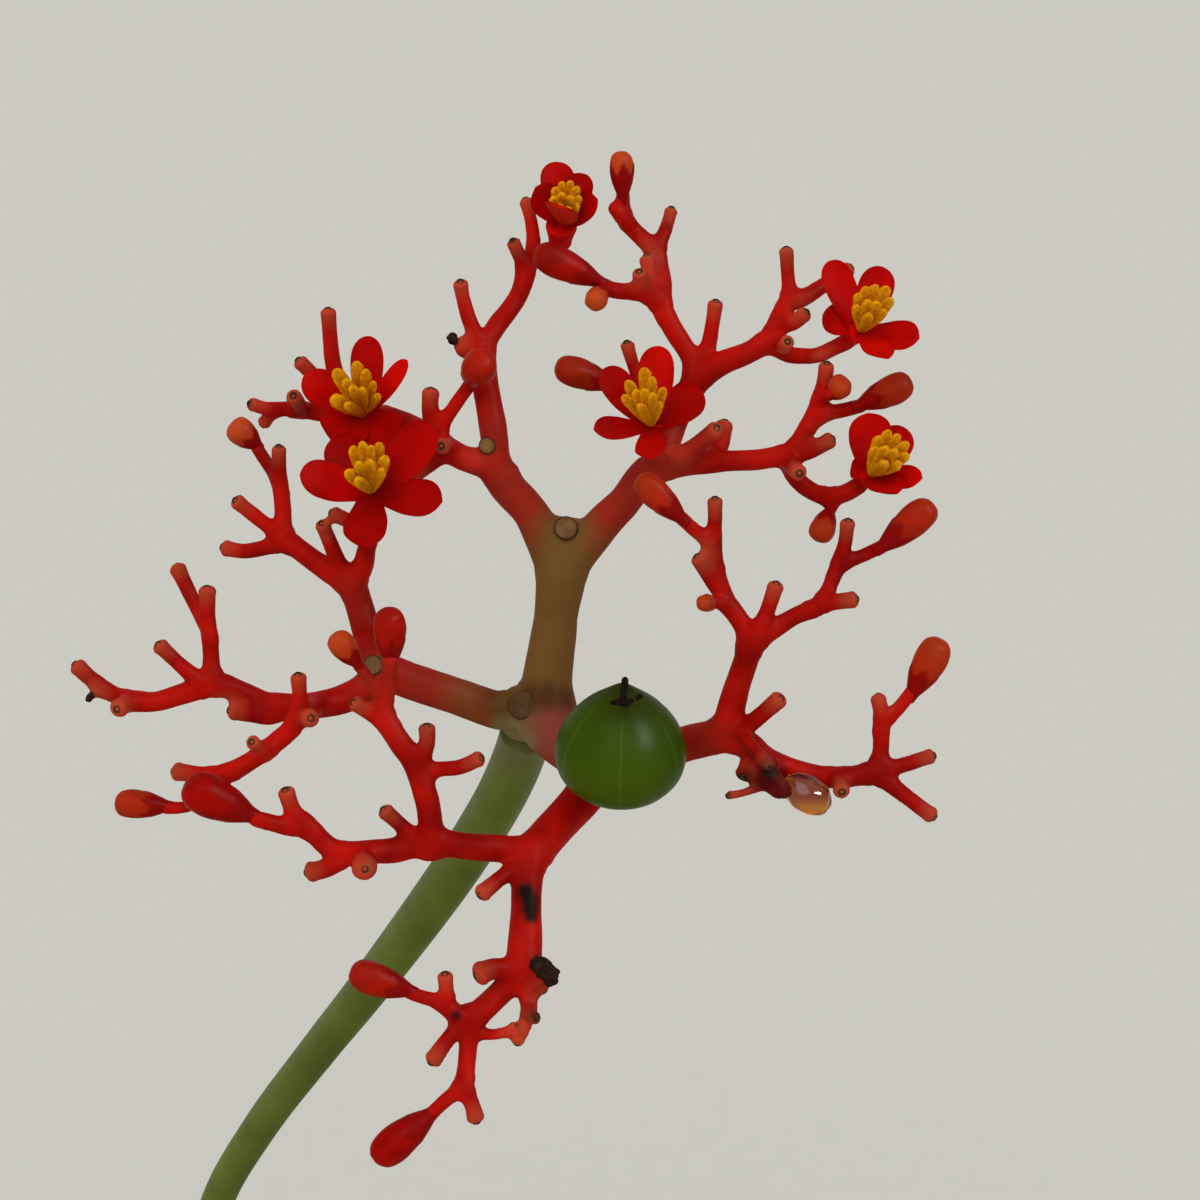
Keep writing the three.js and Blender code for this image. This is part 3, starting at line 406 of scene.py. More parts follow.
# Soil
# Dark peaty potting soil, heaped a little round the stem and level where it meets the pot's wall,
# with loose crumbs and grit on top.

SOIL_TOP = 97 * MM
SOIL_EDGE_TOP = SOIL_TOP - 3 * MM
SOIL_GAP = 0.3 * MM
SOIL_SIDES = 160
SOIL_RINGS = 70
WALL_FADE = 5 * MM
CRUMBS = 320
CRUMB_NEAREST = 34 * MM
CRUMB_SIZES = (0.6 * MM, 1.9 * MM)
CRUMB_FLATNESS = 0.7
CRUMB_RISE = [0.35, 1.1, 1.9, 2.7]


def ripple(points, wave, seed, count=9):
    """An uneven field between about -1 and 1: waves of one length that run in many directions."""
    chance = np.random.default_rng(seed)
    ways = unit(chance.normal(size=(count, 3))) * 2 * np.pi / wave
    phases = chance.uniform(0, 2 * np.pi, count)
    return np.sin(points @ ways.T + phases).sum(-1) / math.sqrt(count)


def soil_height(x, y):
    """A low heap round the stem, with two long swells across it."""
    x, y = x / MM, y / MM
    heap = 5 * np.exp(-((np.hypot(x, y) / 38) ** 2))
    swell = 1.1 * np.sin(0.21 * x + 1) * np.cos(0.17 * y - 0.4) + 0.8 * np.sin(0.11 * (x - y))
    return SOIL_TOP + (heap + swell) * MM


soil_edge = outer_radius(SOIL_EDGE_TOP) - POT_WALL - SOIL_GAP
soil_foot = outer_radius(POT_FLOOR) - POT_WALL - SOIL_GAP
soil_radii = [MIDDLE_RING, soil_foot, *(soil_edge * np.linspace(1, 0.01, SOIL_RINGS))]
soil_heights = [POT_FLOOR + SOIL_GAP] * 2 + [SOIL_EDGE_TOP] * SOIL_RINGS
soil_rings = turned(soil_radii, soil_heights, SOIL_SIDES)
surface = soil_rings[2:]
settled = soil_height(surface[..., 0], surface[..., 1])
settled += 0.8 * MM * ripple(surface, 9 * MM, 3) + 0.4 * MM * ripple(surface, 3.5 * MM, 4)
from_wall = soil_edge - np.hypot(surface[..., 0], surface[..., 1])
surface[..., 2] += (settled - surface[..., 2]) * np.clip(from_wall / WALL_FADE, 0, 1)
peat = finish("Peat", (52, 38, 29), (30, 22, 17), 3 * MM, bump=0.6 * MM, roughness=0.97)
piece("potting_soil", closed(soil_rings), peat, "soil", "soil")

chance = np.random.default_rng(11)
ball = turned(np.sin(CRUMB_RISE), -np.cos(CRUMB_RISE), 6)
crumb_out = chance.uniform(CRUMB_NEAREST, soil_edge - 3 * MM, CRUMBS)
crumb_turn = chance.uniform(0, 2 * np.pi, CRUMBS)
crumb_x, crumb_y = crumb_out * np.cos(crumb_turn), crumb_out * np.sin(crumb_turn)
crumb_places = np.stack([crumb_x, crumb_y, soil_height(crumb_x, crumb_y)], -1)
crumb_sizes = chance.uniform(*CRUMB_SIZES, (CRUMBS, 3)) * [1, 1, CRUMB_FLATNESS]
crumbs = [
    closed(place + size * ball * (1 + 0.2 * ripple(ball, 1.7, i)[..., None]))
    for i, (place, size) in enumerate(zip(crumb_places, crumb_sizes))
]
grit = finish("Grit", (70, 54, 40), (112, 96, 78), 6 * MM, bump=0.2 * MM, roughness=0.95)
piece("soil_crumbs", heaped(crumbs), grit, "soil")

# Swollen stem
# The bottle-shaped stem that stores water: grey-green corky bark, split in fine upright cracks,
# with the round scars of fallen leaves in a spiral and dry spines round its crown.

CROWN_HEIGHT = 248 * MM
STEM_SIDES = 220
STEM_PROFILE = [  # radius, height over the soil
    [3, -30], [18, -29], [29, -14], [35, 0], [38, 13], [36, 29], [30, 46], [23.5, 64],
    [18.5, 84], [15.5, 104], [14, 124], [12.8, 139], [9.5, 147], [4, 151], [0.4, 151.9],
]
CRACK_DEPTH = 0.35 * MM
CRACK_SPACING = 3.2 * MM
CRACK_STRETCH = [1, 1, 0.3]
SCARS = 21
SCAR_LOWEST = 40 * MM
SCAR_STEP = 4.9 * MM
SCAR_SIZE = 3.4 * MM
SCAR_RISE = 0.75 * MM
SPIRAL = math.radians(137.5)
SPINES = 26
SPINE_CIRCLE = 11 * MM
SPINE_REACH = 4.5 * MM
SPINE_SAG = 0.8 * MM


def spine(points, steps):
    """A smooth path through points, with steps samples a span.

    Each span is a cubic whose ends head as the neighbouring points say, weighted by the square
    roots of the spans' lengths so that the path never loops.
    """
    points = np.asarray(points, float)
    ends = np.vstack([2 * points[0] - points[1], points, 2 * points[-1] - points[-2]])
    gaps = np.linalg.norm(np.diff(ends, axis=0), axis=1)[:, None] ** 0.5
    before, here, after = gaps[:-2], gaps[1:-1], gaps[2:]
    a, b, c, d = ends[:-3], ends[1:-2], ends[2:-1], ends[3:]
    leave = here * ((b - a) / before - (c - a) / (before + here) + (c - b) / here)
    enter = here * ((c - b) / here - (d - b) / (here + after) + (d - c) / after)
    t = (np.arange(steps) / steps)[None, :, None]
    path = (
        (2 * t**3 - 3 * t**2 + 1) * b[:, None]
        + (t**3 - 2 * t**2 + t) * leave[:, None]
        + (3 * t**2 - 2 * t**3) * c[:, None]
        + (t**3 - t**2) * enter[:, None]
    )
    return np.vstack([path.reshape(-1, points.shape[1]), points[-1]])


def tube(axis, radii, sides):
    """Rings round a path: a circle of each place's radius, square to the path."""
    tangent = unit(np.gradient(axis, axis=0))
    flat = np.cross(tangent[0], tangent[-1])
    if np.linalg.norm(flat) < 0.3:
        flat = np.eye(3)[np.abs(tangent).max(0).argmin()]
    side = unit(flat - (tangent @ flat)[:, None] * tangent)
    over = np.cross(tangent, side)
    angle = around(sides)[:, None]
    circle = np.cos(angle) * side[:, None] + np.sin(angle) * over[:, None]
    return axis[:, None] + np.asarray(radii)[:, None, None] * circle


def bark_bulge(angle, z):
    """Slow swellings round the stem."""
    z = z / MM
    return 1 + 0.035 * np.sin(3 * angle + 0.05 * z) + 0.03 * np.sin(5 * angle - 0.09 * z + 2)


stem_radii, stem_heights = spine(np.array(STEM_PROFILE) * MM, 14).T
stem_rings = turned(stem_radii, stem_heights + SOIL_TOP, STEM_SIDES, bark_bulge)
out = unit(stem_rings * [1, 1, 0] + 1e-9)
cracks = -np.abs(ripple(stem_rings * CRACK_STRETCH, CRACK_SPACING, 21)) ** 0.5
bark_relief = CRACK_DEPTH * cracks + 0.3 * MM * ripple(stem_rings, 7 * MM, 22)
pads = np.zeros(stem_rings.shape[:2])
for i in range(SCARS):
    height = SCAR_LOWEST + i * SCAR_STEP
    radius = np.interp(height, stem_heights, stem_radii)
    middle = [radius * math.cos(i * SPIRAL), radius * math.sin(i * SPIRAL), SOIL_TOP + height]
    size = SCAR_SIZE * (1 - 0.018 * i)
    away = np.linalg.norm((stem_rings - middle) * [1, 1, 1.4], axis=-1) / size
    pads = np.maximum(pads, np.exp(-((away - 0.75) ** 2) / 0.09) * (away < 2.2))
bark_relief = bark_relief * (1 - 0.8 * pads) + SCAR_RISE * pads
crown_fade = np.clip((CROWN_HEIGHT - stem_rings[..., 2]) / (6 * MM), 0, 1)
stem_rings += out * (bark_relief * crown_fade)[..., None]
bark = finish("Bark", (128, 122, 92), (98, 92, 66), 9 * MM, bump=0.3 * MM, roughness=0.85)
stain(bark, "crack", (66, 58, 42), 0.7)
stain(bark, "scar", (158, 146, 116), 0.7)
stem_shape = closed(stem_rings, crack=(np.clip(1 + 2.2 * cracks, 0, 1), 0, 0), scar=(pads, 0, 0))
piece("swollen_stem", stem_shape, bark, "bark", "stem")

spines = []
for i in range(SPINES):
    turn = i * SPIRAL + 0.4
    out = np.array([math.cos(turn), math.sin(turn), 0])
    foot = out * SPINE_CIRCLE + [0, 0, CROWN_HEIGHT - (14 - 0.35 * i) * MM]
    tip = foot + out * SPINE_REACH + [0, 0, (2.5 + 0.1 * i) * MM]
    knee = (foot + tip) / 2 - [0, 0, SPINE_SAG]
    path = spine([foot, knee, tip], 4)
    spines.append(closed(tube(path, np.linspace(0.55, 0.08, len(path)) * MM, 6)))
spine_brown = finish("Dry_spines", (92, 70, 44), (60, 44, 28), 2 * MM, roughness=0.8)
piece("crown_spines", heaped(spines), spine_brown, "bark")

# Leaves
# Six long-stalked leaves, each blade held a little inside its edge, leathery and lobed,
# with pale veins that fan out from the stalk. Each is one thin closed body.

PETIOLE_RADIUS = 2.1 * MM
PETIOLE_TAPER = np.array([[1.5], [1.0], [0.9], [0.8]])
PETIOLE_SIDES = 20
BLADE_THICKNESS = 0.9 * MM
BLADE_OFFSET = 0.22
BLADE_RINGS = 44
BLADE_SPOKES = 200
MAIN_VEIN = 0.9 * MM
SIDE_VEIN_SPACING = 8.5 * MM
SIDE_VEIN_REACH = 26 * MM
LEAVES = [
    # bearing, reach of the stalk, its rise, blade radius, droop of the blade in degrees, lobes
    [228, 80, 60, 62, 22, 5],
    [174, 84, 38, 66, 26, 5],
    [128, 60, -8, 50, 40, 3],
    [50, 60, 4, 48, 38, 5],
    [358, 84, 24, 62, 24, 5],
    [286, 72, 46, 52, 20, 3],
]

leaf_green = finish(
    "Leaf_green", (74, 112, 44), (52, 88, 34), 16 * MM, bump=0.12 * MM, roughness=0.42, coat=0.15
)
stain(leaf_green, "vein", (150, 168, 96), 0.75)
petiole_green = finish("Petiole_green", (112, 128, 62), (92, 100, 48), 10 * MM, roughness=0.45)


def lobed_rim(angle, lobes):
    """The blade's outline: round lobes, longer in front."""
    lobe = np.abs(np.cos(lobes * angle / 2)) ** 0.7
    return (1 + 0.12 * np.cos(angle)) * (0.72 + 0.3 * lobe)


def vein_on(flat_x, flat_y, blade, offset, lobes):
    """How much vein there is on a flat blade, and how far each spot is beside its main vein.

    A main vein runs from the stalk to the tip of each lobe, and side veins leave it like the
    rungs of a ladder that lean outwards.
    """
    tip_turn = around(lobes)
    tip_reach = blade * lobed_rim(tip_turn, lobes)
    vein_way = np.arctan2(tip_reach * np.sin(tip_turn), tip_reach * np.cos(tip_turn) + offset)
    swing = np.arctan2(flat_y, flat_x)[..., None] - vein_way
    swing = np.abs((swing + np.pi) % (2 * np.pi) - np.pi).min(-1)
    from_stalk = np.hypot(flat_x, flat_y)
    beside, along = from_stalk * np.sin(swing), from_stalk * np.cos(swing)
    main_vein = np.exp(-((beside / MAIN_VEIN) ** 2)) * np.clip(1.1 - along / blade, 0.3, 1)
    rung = ((along - 0.55 * beside) / SIDE_VEIN_SPACING) % 1
    side_vein = np.exp(-(((rung - 0.5) / 0.075) ** 2)) * np.clip(beside / MM, 0, 1)
    side_vein = side_vein * np.clip(1 - beside / SIDE_VEIN_REACH, 0, 1)
    return np.maximum(main_vein, 0.6 * side_vein), beside


for number, (bearing, reach, rise, blade, droop, lobes) in enumerate(LEAVES, 1):
    turn = math.radians(bearing)
    outward = np.array([math.cos(turn), math.sin(turn), 0])
    stations = [[0, 0], [0.25 * reach, 0.45 * rise + 14], [0.65 * reach, 0.85 * rise + 17]]
    stations.append([reach, rise + 12])
    arch = [outward * (5 + out) * MM + [0, 0, CROWN_HEIGHT + (up - 12) * MM] for out, up in stations]
    thick = spine(PETIOLE_TAPER, 16)[:, 0] * PETIOLE_RADIUS
    petiole = closed(tube(spine(arch, 16), thick, PETIOLE_SIDES))
    piece(f"petiole_{number}", petiole, petiole_green, "leaf")

    angle = around(BLADE_SPOKES)
    share = np.linspace(0.02, 1, BLADE_RINGS)[:, None]
    out = share * blade * MM * lobed_rim(angle, lobes)
    offset = BLADE_OFFSET * blade * MM
    flat_x, flat_y = out * np.cos(angle) + offset, out * np.sin(angle)
    vein, beside = vein_on(flat_x, flat_y, blade * MM, offset, lobes)
    wave = 0.05 * blade * share**2 * np.cos(lobes * angle) - 0.1 * blade * share**2
    quilt = 0.5 * (1 - np.exp(-((beside / (7 * MM)) ** 2))) - 0.3 * vein
    sheet = np.stack([flat_x, flat_y, np.zeros_like(flat_x)], -1)
    lift = (wave + quilt + 0.35 * ripple(sheet, 26 * MM, number)) * MM
    thin = BLADE_THICKNESS / 2 * np.sqrt(np.clip(1 - share**8, 0.02, 1))
    under, top = (np.stack([flat_x, flat_y, lift + half], -1) for half in (-thin, thin))
    tilt = Matrix.Rotation(turn, 3, "Z") @ Matrix.Rotation(math.radians(droop), 3, "Y")
    rings = np.vstack([under, top[::-1]]) @ np.array(tilt).T + arch[-1]
    shape = closed(rings, vein=(np.vstack([vein, vein[::-1]]), 0, 0))
    piece(f"leaf_blade_{number}", shape, leaf_green, "leaf", f"leaf_{number}")

# Flower stalk
# A smooth fleshy green stalk that rises from the crown and leans out to carry the head.
# It turns brownish where it joins the head.

STALK_ON_PLAN = np.array([  # across, down, depth, radius in millimetres
    [526, 731.5, -5.2, 3.0], [520, 753, -9, 3.05], [503, 792, -16, 3.05],
    [471, 846, -27, 3.05], [437.5, 895, -37, 3.05], [366.5, 990, -58, 2.85],
    [318.5, 1050, -73, 2.7], [258, 1130, -93, 2.6], [218, 1200, -107, 2.55],
])
STALK_FOOT = np.array([[2.5, -2, 338, 2.6], [-0.8, 1.5, 300, 2.9], [0, 0, 242, 3.3]]) * MM
STALK_SIDES = 32
NECK_FADE = 7 * MM

stalk_top = np.column_stack([on_plan(STALK_ON_PLAN[:, :3]), STALK_ON_PLAN[:, 3] * MM])
stalk_path, stalk_radii = np.split(spine(np.vstack([stalk_top, STALK_FOOT]), 10), [3], axis=1)
stalk_rings = tube(stalk_path, stalk_radii[:, 0], STALK_SIDES)
neck = np.clip(1.2 - np.linalg.norm(stalk_rings - stalk_path[0], axis=-1) / NECK_FADE, 0, 1)
stalk_green = finish(
    "Stalk_green", (98, 110, 36), (84, 96, 28), 8 * MM, bump=0.02 * MM, roughness=0.5, gleam=0.16
)
stain(stalk_green, "neck", (112, 108, 66), 0.7)
piece(
    "green_stalk", closed(stalk_rings, neck=(neck, 1, 0)), stalk_green, "stalk", "flower_stalk"
)

# Coral head
# The branched red flower stalks, fleshy and waxy, webbed smoothly where they grow out of one
# another. Many end in the blunt stub of a flower that has dropped.
# Each limb is a run of [across, down, depth, width] on the plan.

HUB_LIMBS = [
    [[522, 706, 0, 46], [524, 717, -2.2, 47], [526, 729, -4.8, 47]],
    [[546, 716, 0, 74], [547, 684, 0, 51], [556, 617, 1, 43], [561, 575, 2, 51], [565, 517, 2, 42]],
    [[526, 711, 0, 40], [501, 711, 0, 38], [456, 696, 2, 37], [408, 680, 3, 37], [373, 667, 4, 39]],
    [[520, 704, 0, 44], [550, 735, 2, 46], [582, 760, 5, 42], [612, 774, 7, 40]],
]
UPPER_LEFT_LIMBS = [
    [[554, 560, 2, 46], [530, 512, 4, 36], [508, 487, 5, 36], [493, 461, 6, 38]],
    [[497, 468, 6, 31], [494, 434, 7, 28], [489, 405, 7, 27], [484, 375, 7, 27], [482, 342, 7, 27]],
    [[482, 353, 7, 20], [466, 347, 7, 22], [456, 341, 7, 15]],
    [[482, 350, 7, 20], [469, 319, 8, 16], [463, 298, 8, 14], [460, 280, 9, 15]],
    [[482, 350, 7, 23], [498, 324, 6, 20], [510, 309, 6, 19], [521, 290, 5, 19], [528, 262, 5, 21]],
    [[527, 270, 5, 15], [519, 255, 6, 14], [512, 239, 7, 14]],
    [[528, 268, 5, 17], [533, 243, 4, 15], [531, 220, 4, 13], [525, 198, 4, 13]],
    [[526, 266, 5, 15], [546, 255, 3, 13], [559, 246, 2, 13]],
    [[502, 472, 6, 30], [476, 462, 7, 27], [461, 457, 7, 25], [445, 447, 8, 25], [434, 434, 8, 24]],
    [[448, 446, 8, 17], [441, 446, 13, 16]],
    [[437, 442, 8, 19], [430, 412, 9, 17], [431, 388, 10, 17]],
    [[437, 438, 8, 17], [448, 416, 9, 14], [466, 390, 10, 14], [474, 378, 11, 15]],
    [[450, 450, 8, 16], [430, 465, 9, 15], [412, 477, 9, 14]],
    [[440, 440, 8, 22], [410, 428, 5, 19], [380, 424, 2, 18], [323, 414, 1, 17], [287, 406, 2, 18]],
    [[430, 436, 7, 26], [406, 424, 4, 24], [378, 412, 2, 18]],
    [[372, 426, 2, 14], [372, 421, 4.6, 13]],
    [[296, 412, 2, 16], [300, 408, 3, 15], [293, 395, 7, 15]],
    [[296, 409, 2, 16], [268, 409, 3, 14], [248, 403, 4, 13]],
    [[292, 407, 2, 14], [275, 411, 2, 13], [262, 426, 1, 13]],
    [[354, 422, 1, 18], [342, 392, 1, 18], [334, 368, 2, 17], [330, 335, 3, 15], [328, 308, 4, 15]],
    [[342, 408, 1, 16], [318, 380, 1, 15], [297, 359, 2, 15]],
]
UPPER_RIGHT_LIMBS = [
    [[572, 560, 2, 46], [606, 520, 4, 36], [624, 502, 5, 33], [643, 477, 7, 33], [661, 463, 8, 34]],
    [[668, 464, 8, 24], [692, 449, 11, 19], [718, 427, 15, 16]],
    [[710, 462, 8, 22], [720, 445, 7, 19], [725, 420, 7, 17]],
    [[670, 466, 8, 20], [674, 454, 11, 16], [664, 444, 12.5, 15]],
    [[670, 438, 7, 15], [650, 404, 4, 14], [635, 370, 4, 13], [626, 341, 5, 14]],
    [[668, 430, 7, 14], [635, 398, 5, 12], [608, 383, 6, 13]],
    [[650, 470, 8, 30], [682, 465, 8, 24], [724, 461, 9, 21], [757, 460, 9, 21], [792, 453, 9, 21]],
    [[786, 458, 9, 20], [802, 436, 9, 18], [817, 408, 9, 18], [824, 383, 10, 16], [827, 362, 11, 15]],
    [[813, 423, 9, 16], [827, 414, 9, 16], [845, 410, 9, 15], [868, 404, 10, 14]],
    [[818, 400, 10, 12], [832, 392, 12, 11]],
    [[788, 456, 9, 18], [808, 452, 9, 16], [834, 438, 10, 16]],
    [[786, 458, 9, 16], [792, 466, 11, 16], [800, 474, 14, 16]],
    [[788, 452, 9, 19], [793, 474, 9, 18], [808, 489, 9, 18], [824, 496, 9, 18], [843, 494, 10, 18],
     [858, 486, 10, 18], [867, 479, 10.5, 17]],
    [[830, 492, 9, 12], [832, 505, 9, 11], [830, 516, 9, 11]],
    [[658, 470, 8, 32], [667, 441, 7, 28], [680, 410, 6, 26], [694, 382, 6, 27], [697, 362, 6, 27]],
    [[696, 372, 6, 19], [707, 350, 6, 16], [712, 327, 7, 15], [716, 300, 8, 15]],
    [[699, 372, 6, 23], [686, 350, 6, 20], [672, 327, 6, 20], [659, 303, 6, 22]],
    [[664, 309, 6, 19], [642, 293, 7, 18], [615, 290, 7, 16], [593, 279, 8, 13]],
    [[610, 289, 7, 12], [600, 294, 9, 12]],
    [[642, 294, 7, 14], [640, 282, 8, 14], [639, 270, 9, 14]],
    [[660, 304, 6, 17], [651, 278, 7, 15], [646, 255, 7, 15]],
    [[662, 310, 6, 23], [662, 285, 6, 20], [659, 264, 5, 19], [655, 245, 5, 21]],
    [[657, 253, 5, 19], [642, 238, 5, 17], [630, 226, 5, 17], [622, 212, 6, 17]],
    [[627, 222, 6, 16], [618, 212, 7, 15], [611, 203, 7, 15]],
    [[624, 222, 6, 15], [623, 205, 6, 14], [623, 188, 7, 13]],
    [[656, 252, 5, 16], [663, 236, 5, 14], [668, 222, 4, 13], [672, 207, 4, 13]],
    [[693, 384, 6, 28], [721, 364, 7, 25], [750, 352, 8, 22], [775, 336, 8, 23]],
    [[768, 342, 8, 21], [778, 321, 8, 20], [786, 304, 8, 18], [792, 293, 8, 19]],
    [[791, 303, 8, 17], [788, 277, 8, 14], [786, 247, 9, 14]],
    [[787, 302, 8, 18], [803, 298, 8, 18], [821, 287, 7, 16], [852, 267, 6, 15]],
    [[778, 324, 8, 18], [793, 323, 9, 16], [808, 311, 10, 15]],
    [[778, 338, 8, 15], [783, 347, 11, 15], [788, 341, 14, 14]],
    [[768, 338, 8, 20], [784, 353, 8, 17], [805, 356, 8, 16], [818, 355, 9, 16], [836, 347, 9, 16],
     [847, 341, 9.5, 17], [856, 333, 10.5, 16]],
]
LEFT_LIMBS = [
    [[378, 674, 4, 34], [371, 650, 4, 29], [366, 631, 5, 28], [358, 601, 5, 28], [347, 574, 6, 31]],
    [[354, 588, 6, 27], [331, 572, 6, 24], [311, 558, 6, 22], [291, 543, 5, 21], [279, 534, 5, 23]],
    [[283, 544, 5, 20], [283, 510, 5, 17], [279, 472, 6, 15], [279, 445, 7, 14]],
    [[282, 488, 5, 14], [270, 468, 5, 13], [254, 443, 5, 13]],
    [[284, 540, 5, 19], [265, 524, 6, 15], [250, 512, 6, 15], [234, 499, 7, 15]],
    [[288, 540, 5, 18], [266, 547, 5, 16], [243, 551, 4, 15], [221, 547, 4, 16]],
    [[350, 586, 6, 22], [339, 565, 7, 18], [333, 550, 8, 16], [326, 533, 8, 15], [321, 522, 9, 14]],
    [[352, 586, 6, 26], [362, 568, 7, 22], [367, 548, 9, 19], [374, 525, 11, 18], [377, 516, 12, 18]],
    [[368, 536, 9, 15], [348, 521, 9, 15], [330, 512, 9, 15]],
    [[384, 674, 4, 34], [349, 697, 5, 30], [309, 706, 7, 26], [268, 705, 8, 26]],
    [[276, 708, 8, 24], [250, 695, 8, 20], [225, 686, 9, 24], [208, 681, 9, 26]],
    [[212, 686, 9, 22], [211, 655, 9, 17], [208, 617, 10, 16], [207, 586, 11, 17]],
    [[210, 636, 10, 14], [200, 614, 9, 14], [190, 594, 9, 15], [176, 565, 8, 16]],
    [[211, 689, 9, 19], [191, 674, 10, 16], [175, 660, 10, 15], [157, 643, 11, 16]],
    [[218, 683, 9, 24], [186, 693, 9, 22], [153, 702, 10, 20], [122, 699, 10, 21]],
    [[132, 700, 10, 19], [116, 710, 13, 18]],
    [[129, 700, 10, 19], [107, 691, 9, 18], [90, 678, 9, 16], [74, 663, 9, 17]],
    [[102, 686, 9, 8], [90, 698, 10, 6]],
    [[294, 706, 7, 20], [270, 716, 8, 18], [251, 714, 9, 17], [228, 710, 9, 18]],
    [[318, 704, 7, 22], [307, 712, 11, 21], [296, 720, 14, 22]],
    [[298, 724, 14, 18], [300, 700, 14, 15], [298, 673, 15, 16]],
    [[298, 718, 13, 17], [312, 718, 17, 18]],
    [[300, 712, 14, 22], [290, 730, 14, 20], [279, 740, 14, 20], [261, 754, 15, 19],
     [232, 771, 15, 20], [210, 777, 15, 19]],
    [[268, 754, 14, 14], [251, 741, 18, 14]],
    [[222, 775, 15, 18], [195, 774, 15, 16], [172, 771, 15, 18]],
    [[228, 777, 15, 15], [203, 797, 12, 13], [186, 807, 12, 12], [160, 807, 12, 14]],
]
RIGHT_LIMBS = [
    [[612, 770, 7, 28], [616, 784, 9.2, 26], [618, 796, 12, 22]],
    [[600, 768, 7, 38], [650, 757, 8, 38], [684, 744, 9, 36], [716, 736, 11, 35], [734, 726, 12, 38]],
    [[724, 738, 12, 34], [731, 708, 13, 28], [739, 681, 14, 26], [747, 657, 15, 25],
     [751, 634, 16, 28]],
    [[754, 646, 16, 24], [741, 622, 16, 20], [726, 600, 16, 19], [715, 558, 17, 16],
     [715, 525, 18, 15], [715, 497, 19, 15]],
    [[716, 562, 17, 16], [705, 540, 18, 14], [690, 526, 19, 14], [675, 512, 20, 14]],
    [[726, 602, 16, 17], [711, 580, 17, 14], [696, 555, 18, 15]],
    [[726, 604, 16, 13], [712, 603, 18, 12]],
    [[750, 648, 16, 22], [758, 629, 17, 17], [767, 612, 17, 16], [777, 582, 18, 16]],
    [[748, 644, 16, 24], [766, 634, 16, 20], [793, 617, 16, 18], [816, 607, 17, 18],
     [826, 600, 17, 19]],
    [[819, 608, 17, 18], [829, 588, 17, 16], [838, 563, 17, 15], [845, 543, 18, 14],
     [848, 519, 19, 15]],
    [[836, 570, 17, 15], [850, 561, 17, 14], [866, 554, 17, 14], [888, 543, 18, 14]],
    [[816, 606, 17, 18], [829, 603, 18, 16], [858, 599, 19, 16]],
    [[728, 736, 12, 22], [750, 724, 14, 18], [782, 697, 17, 17]],
    [[722, 733, 12, 35], [746, 744, 12, 29], [764, 758, 12, 26], [793, 770, 12, 23],
     [824, 777, 12, 22], [854, 776, 13, 21], [884, 770, 13, 23]],
    [[876, 776, 13, 21], [881, 750, 13, 17], [881, 728, 14, 17], [883, 714, 14, 18]],
    [[883, 724, 14, 16], [880, 708, 15, 15], [878, 694, 15, 15]],
    [[880, 726, 14, 16], [892, 715, 14, 14], [904, 702, 15, 14], [917, 684, 15, 14]],
    [[876, 770, 13, 18], [895, 767, 13, 15], [935, 755, 13, 15]],
    [[874, 768, 13, 20], [889, 783, 13, 18], [911, 800, 14, 16], [935, 818, 14, 16]],
    [[838, 774, 12, 16], [842, 793, 16, 16]],
    [[736, 728, 12, 14], [754, 748, 17, 12], [770, 768, 20, 13]],
    [[752, 742, 12, 14], [747, 764, 14, 15], [745, 779, 15, 20]],
    [[758, 758, 13, 28], [768, 775, 15, 25], [778, 787, 15, 22], [790, 794, 15, 14]],
    [[778, 764, 13, 10], [763, 785, 14, 8], [742, 793, 15, 8], [726, 796, 15, 9]],
]
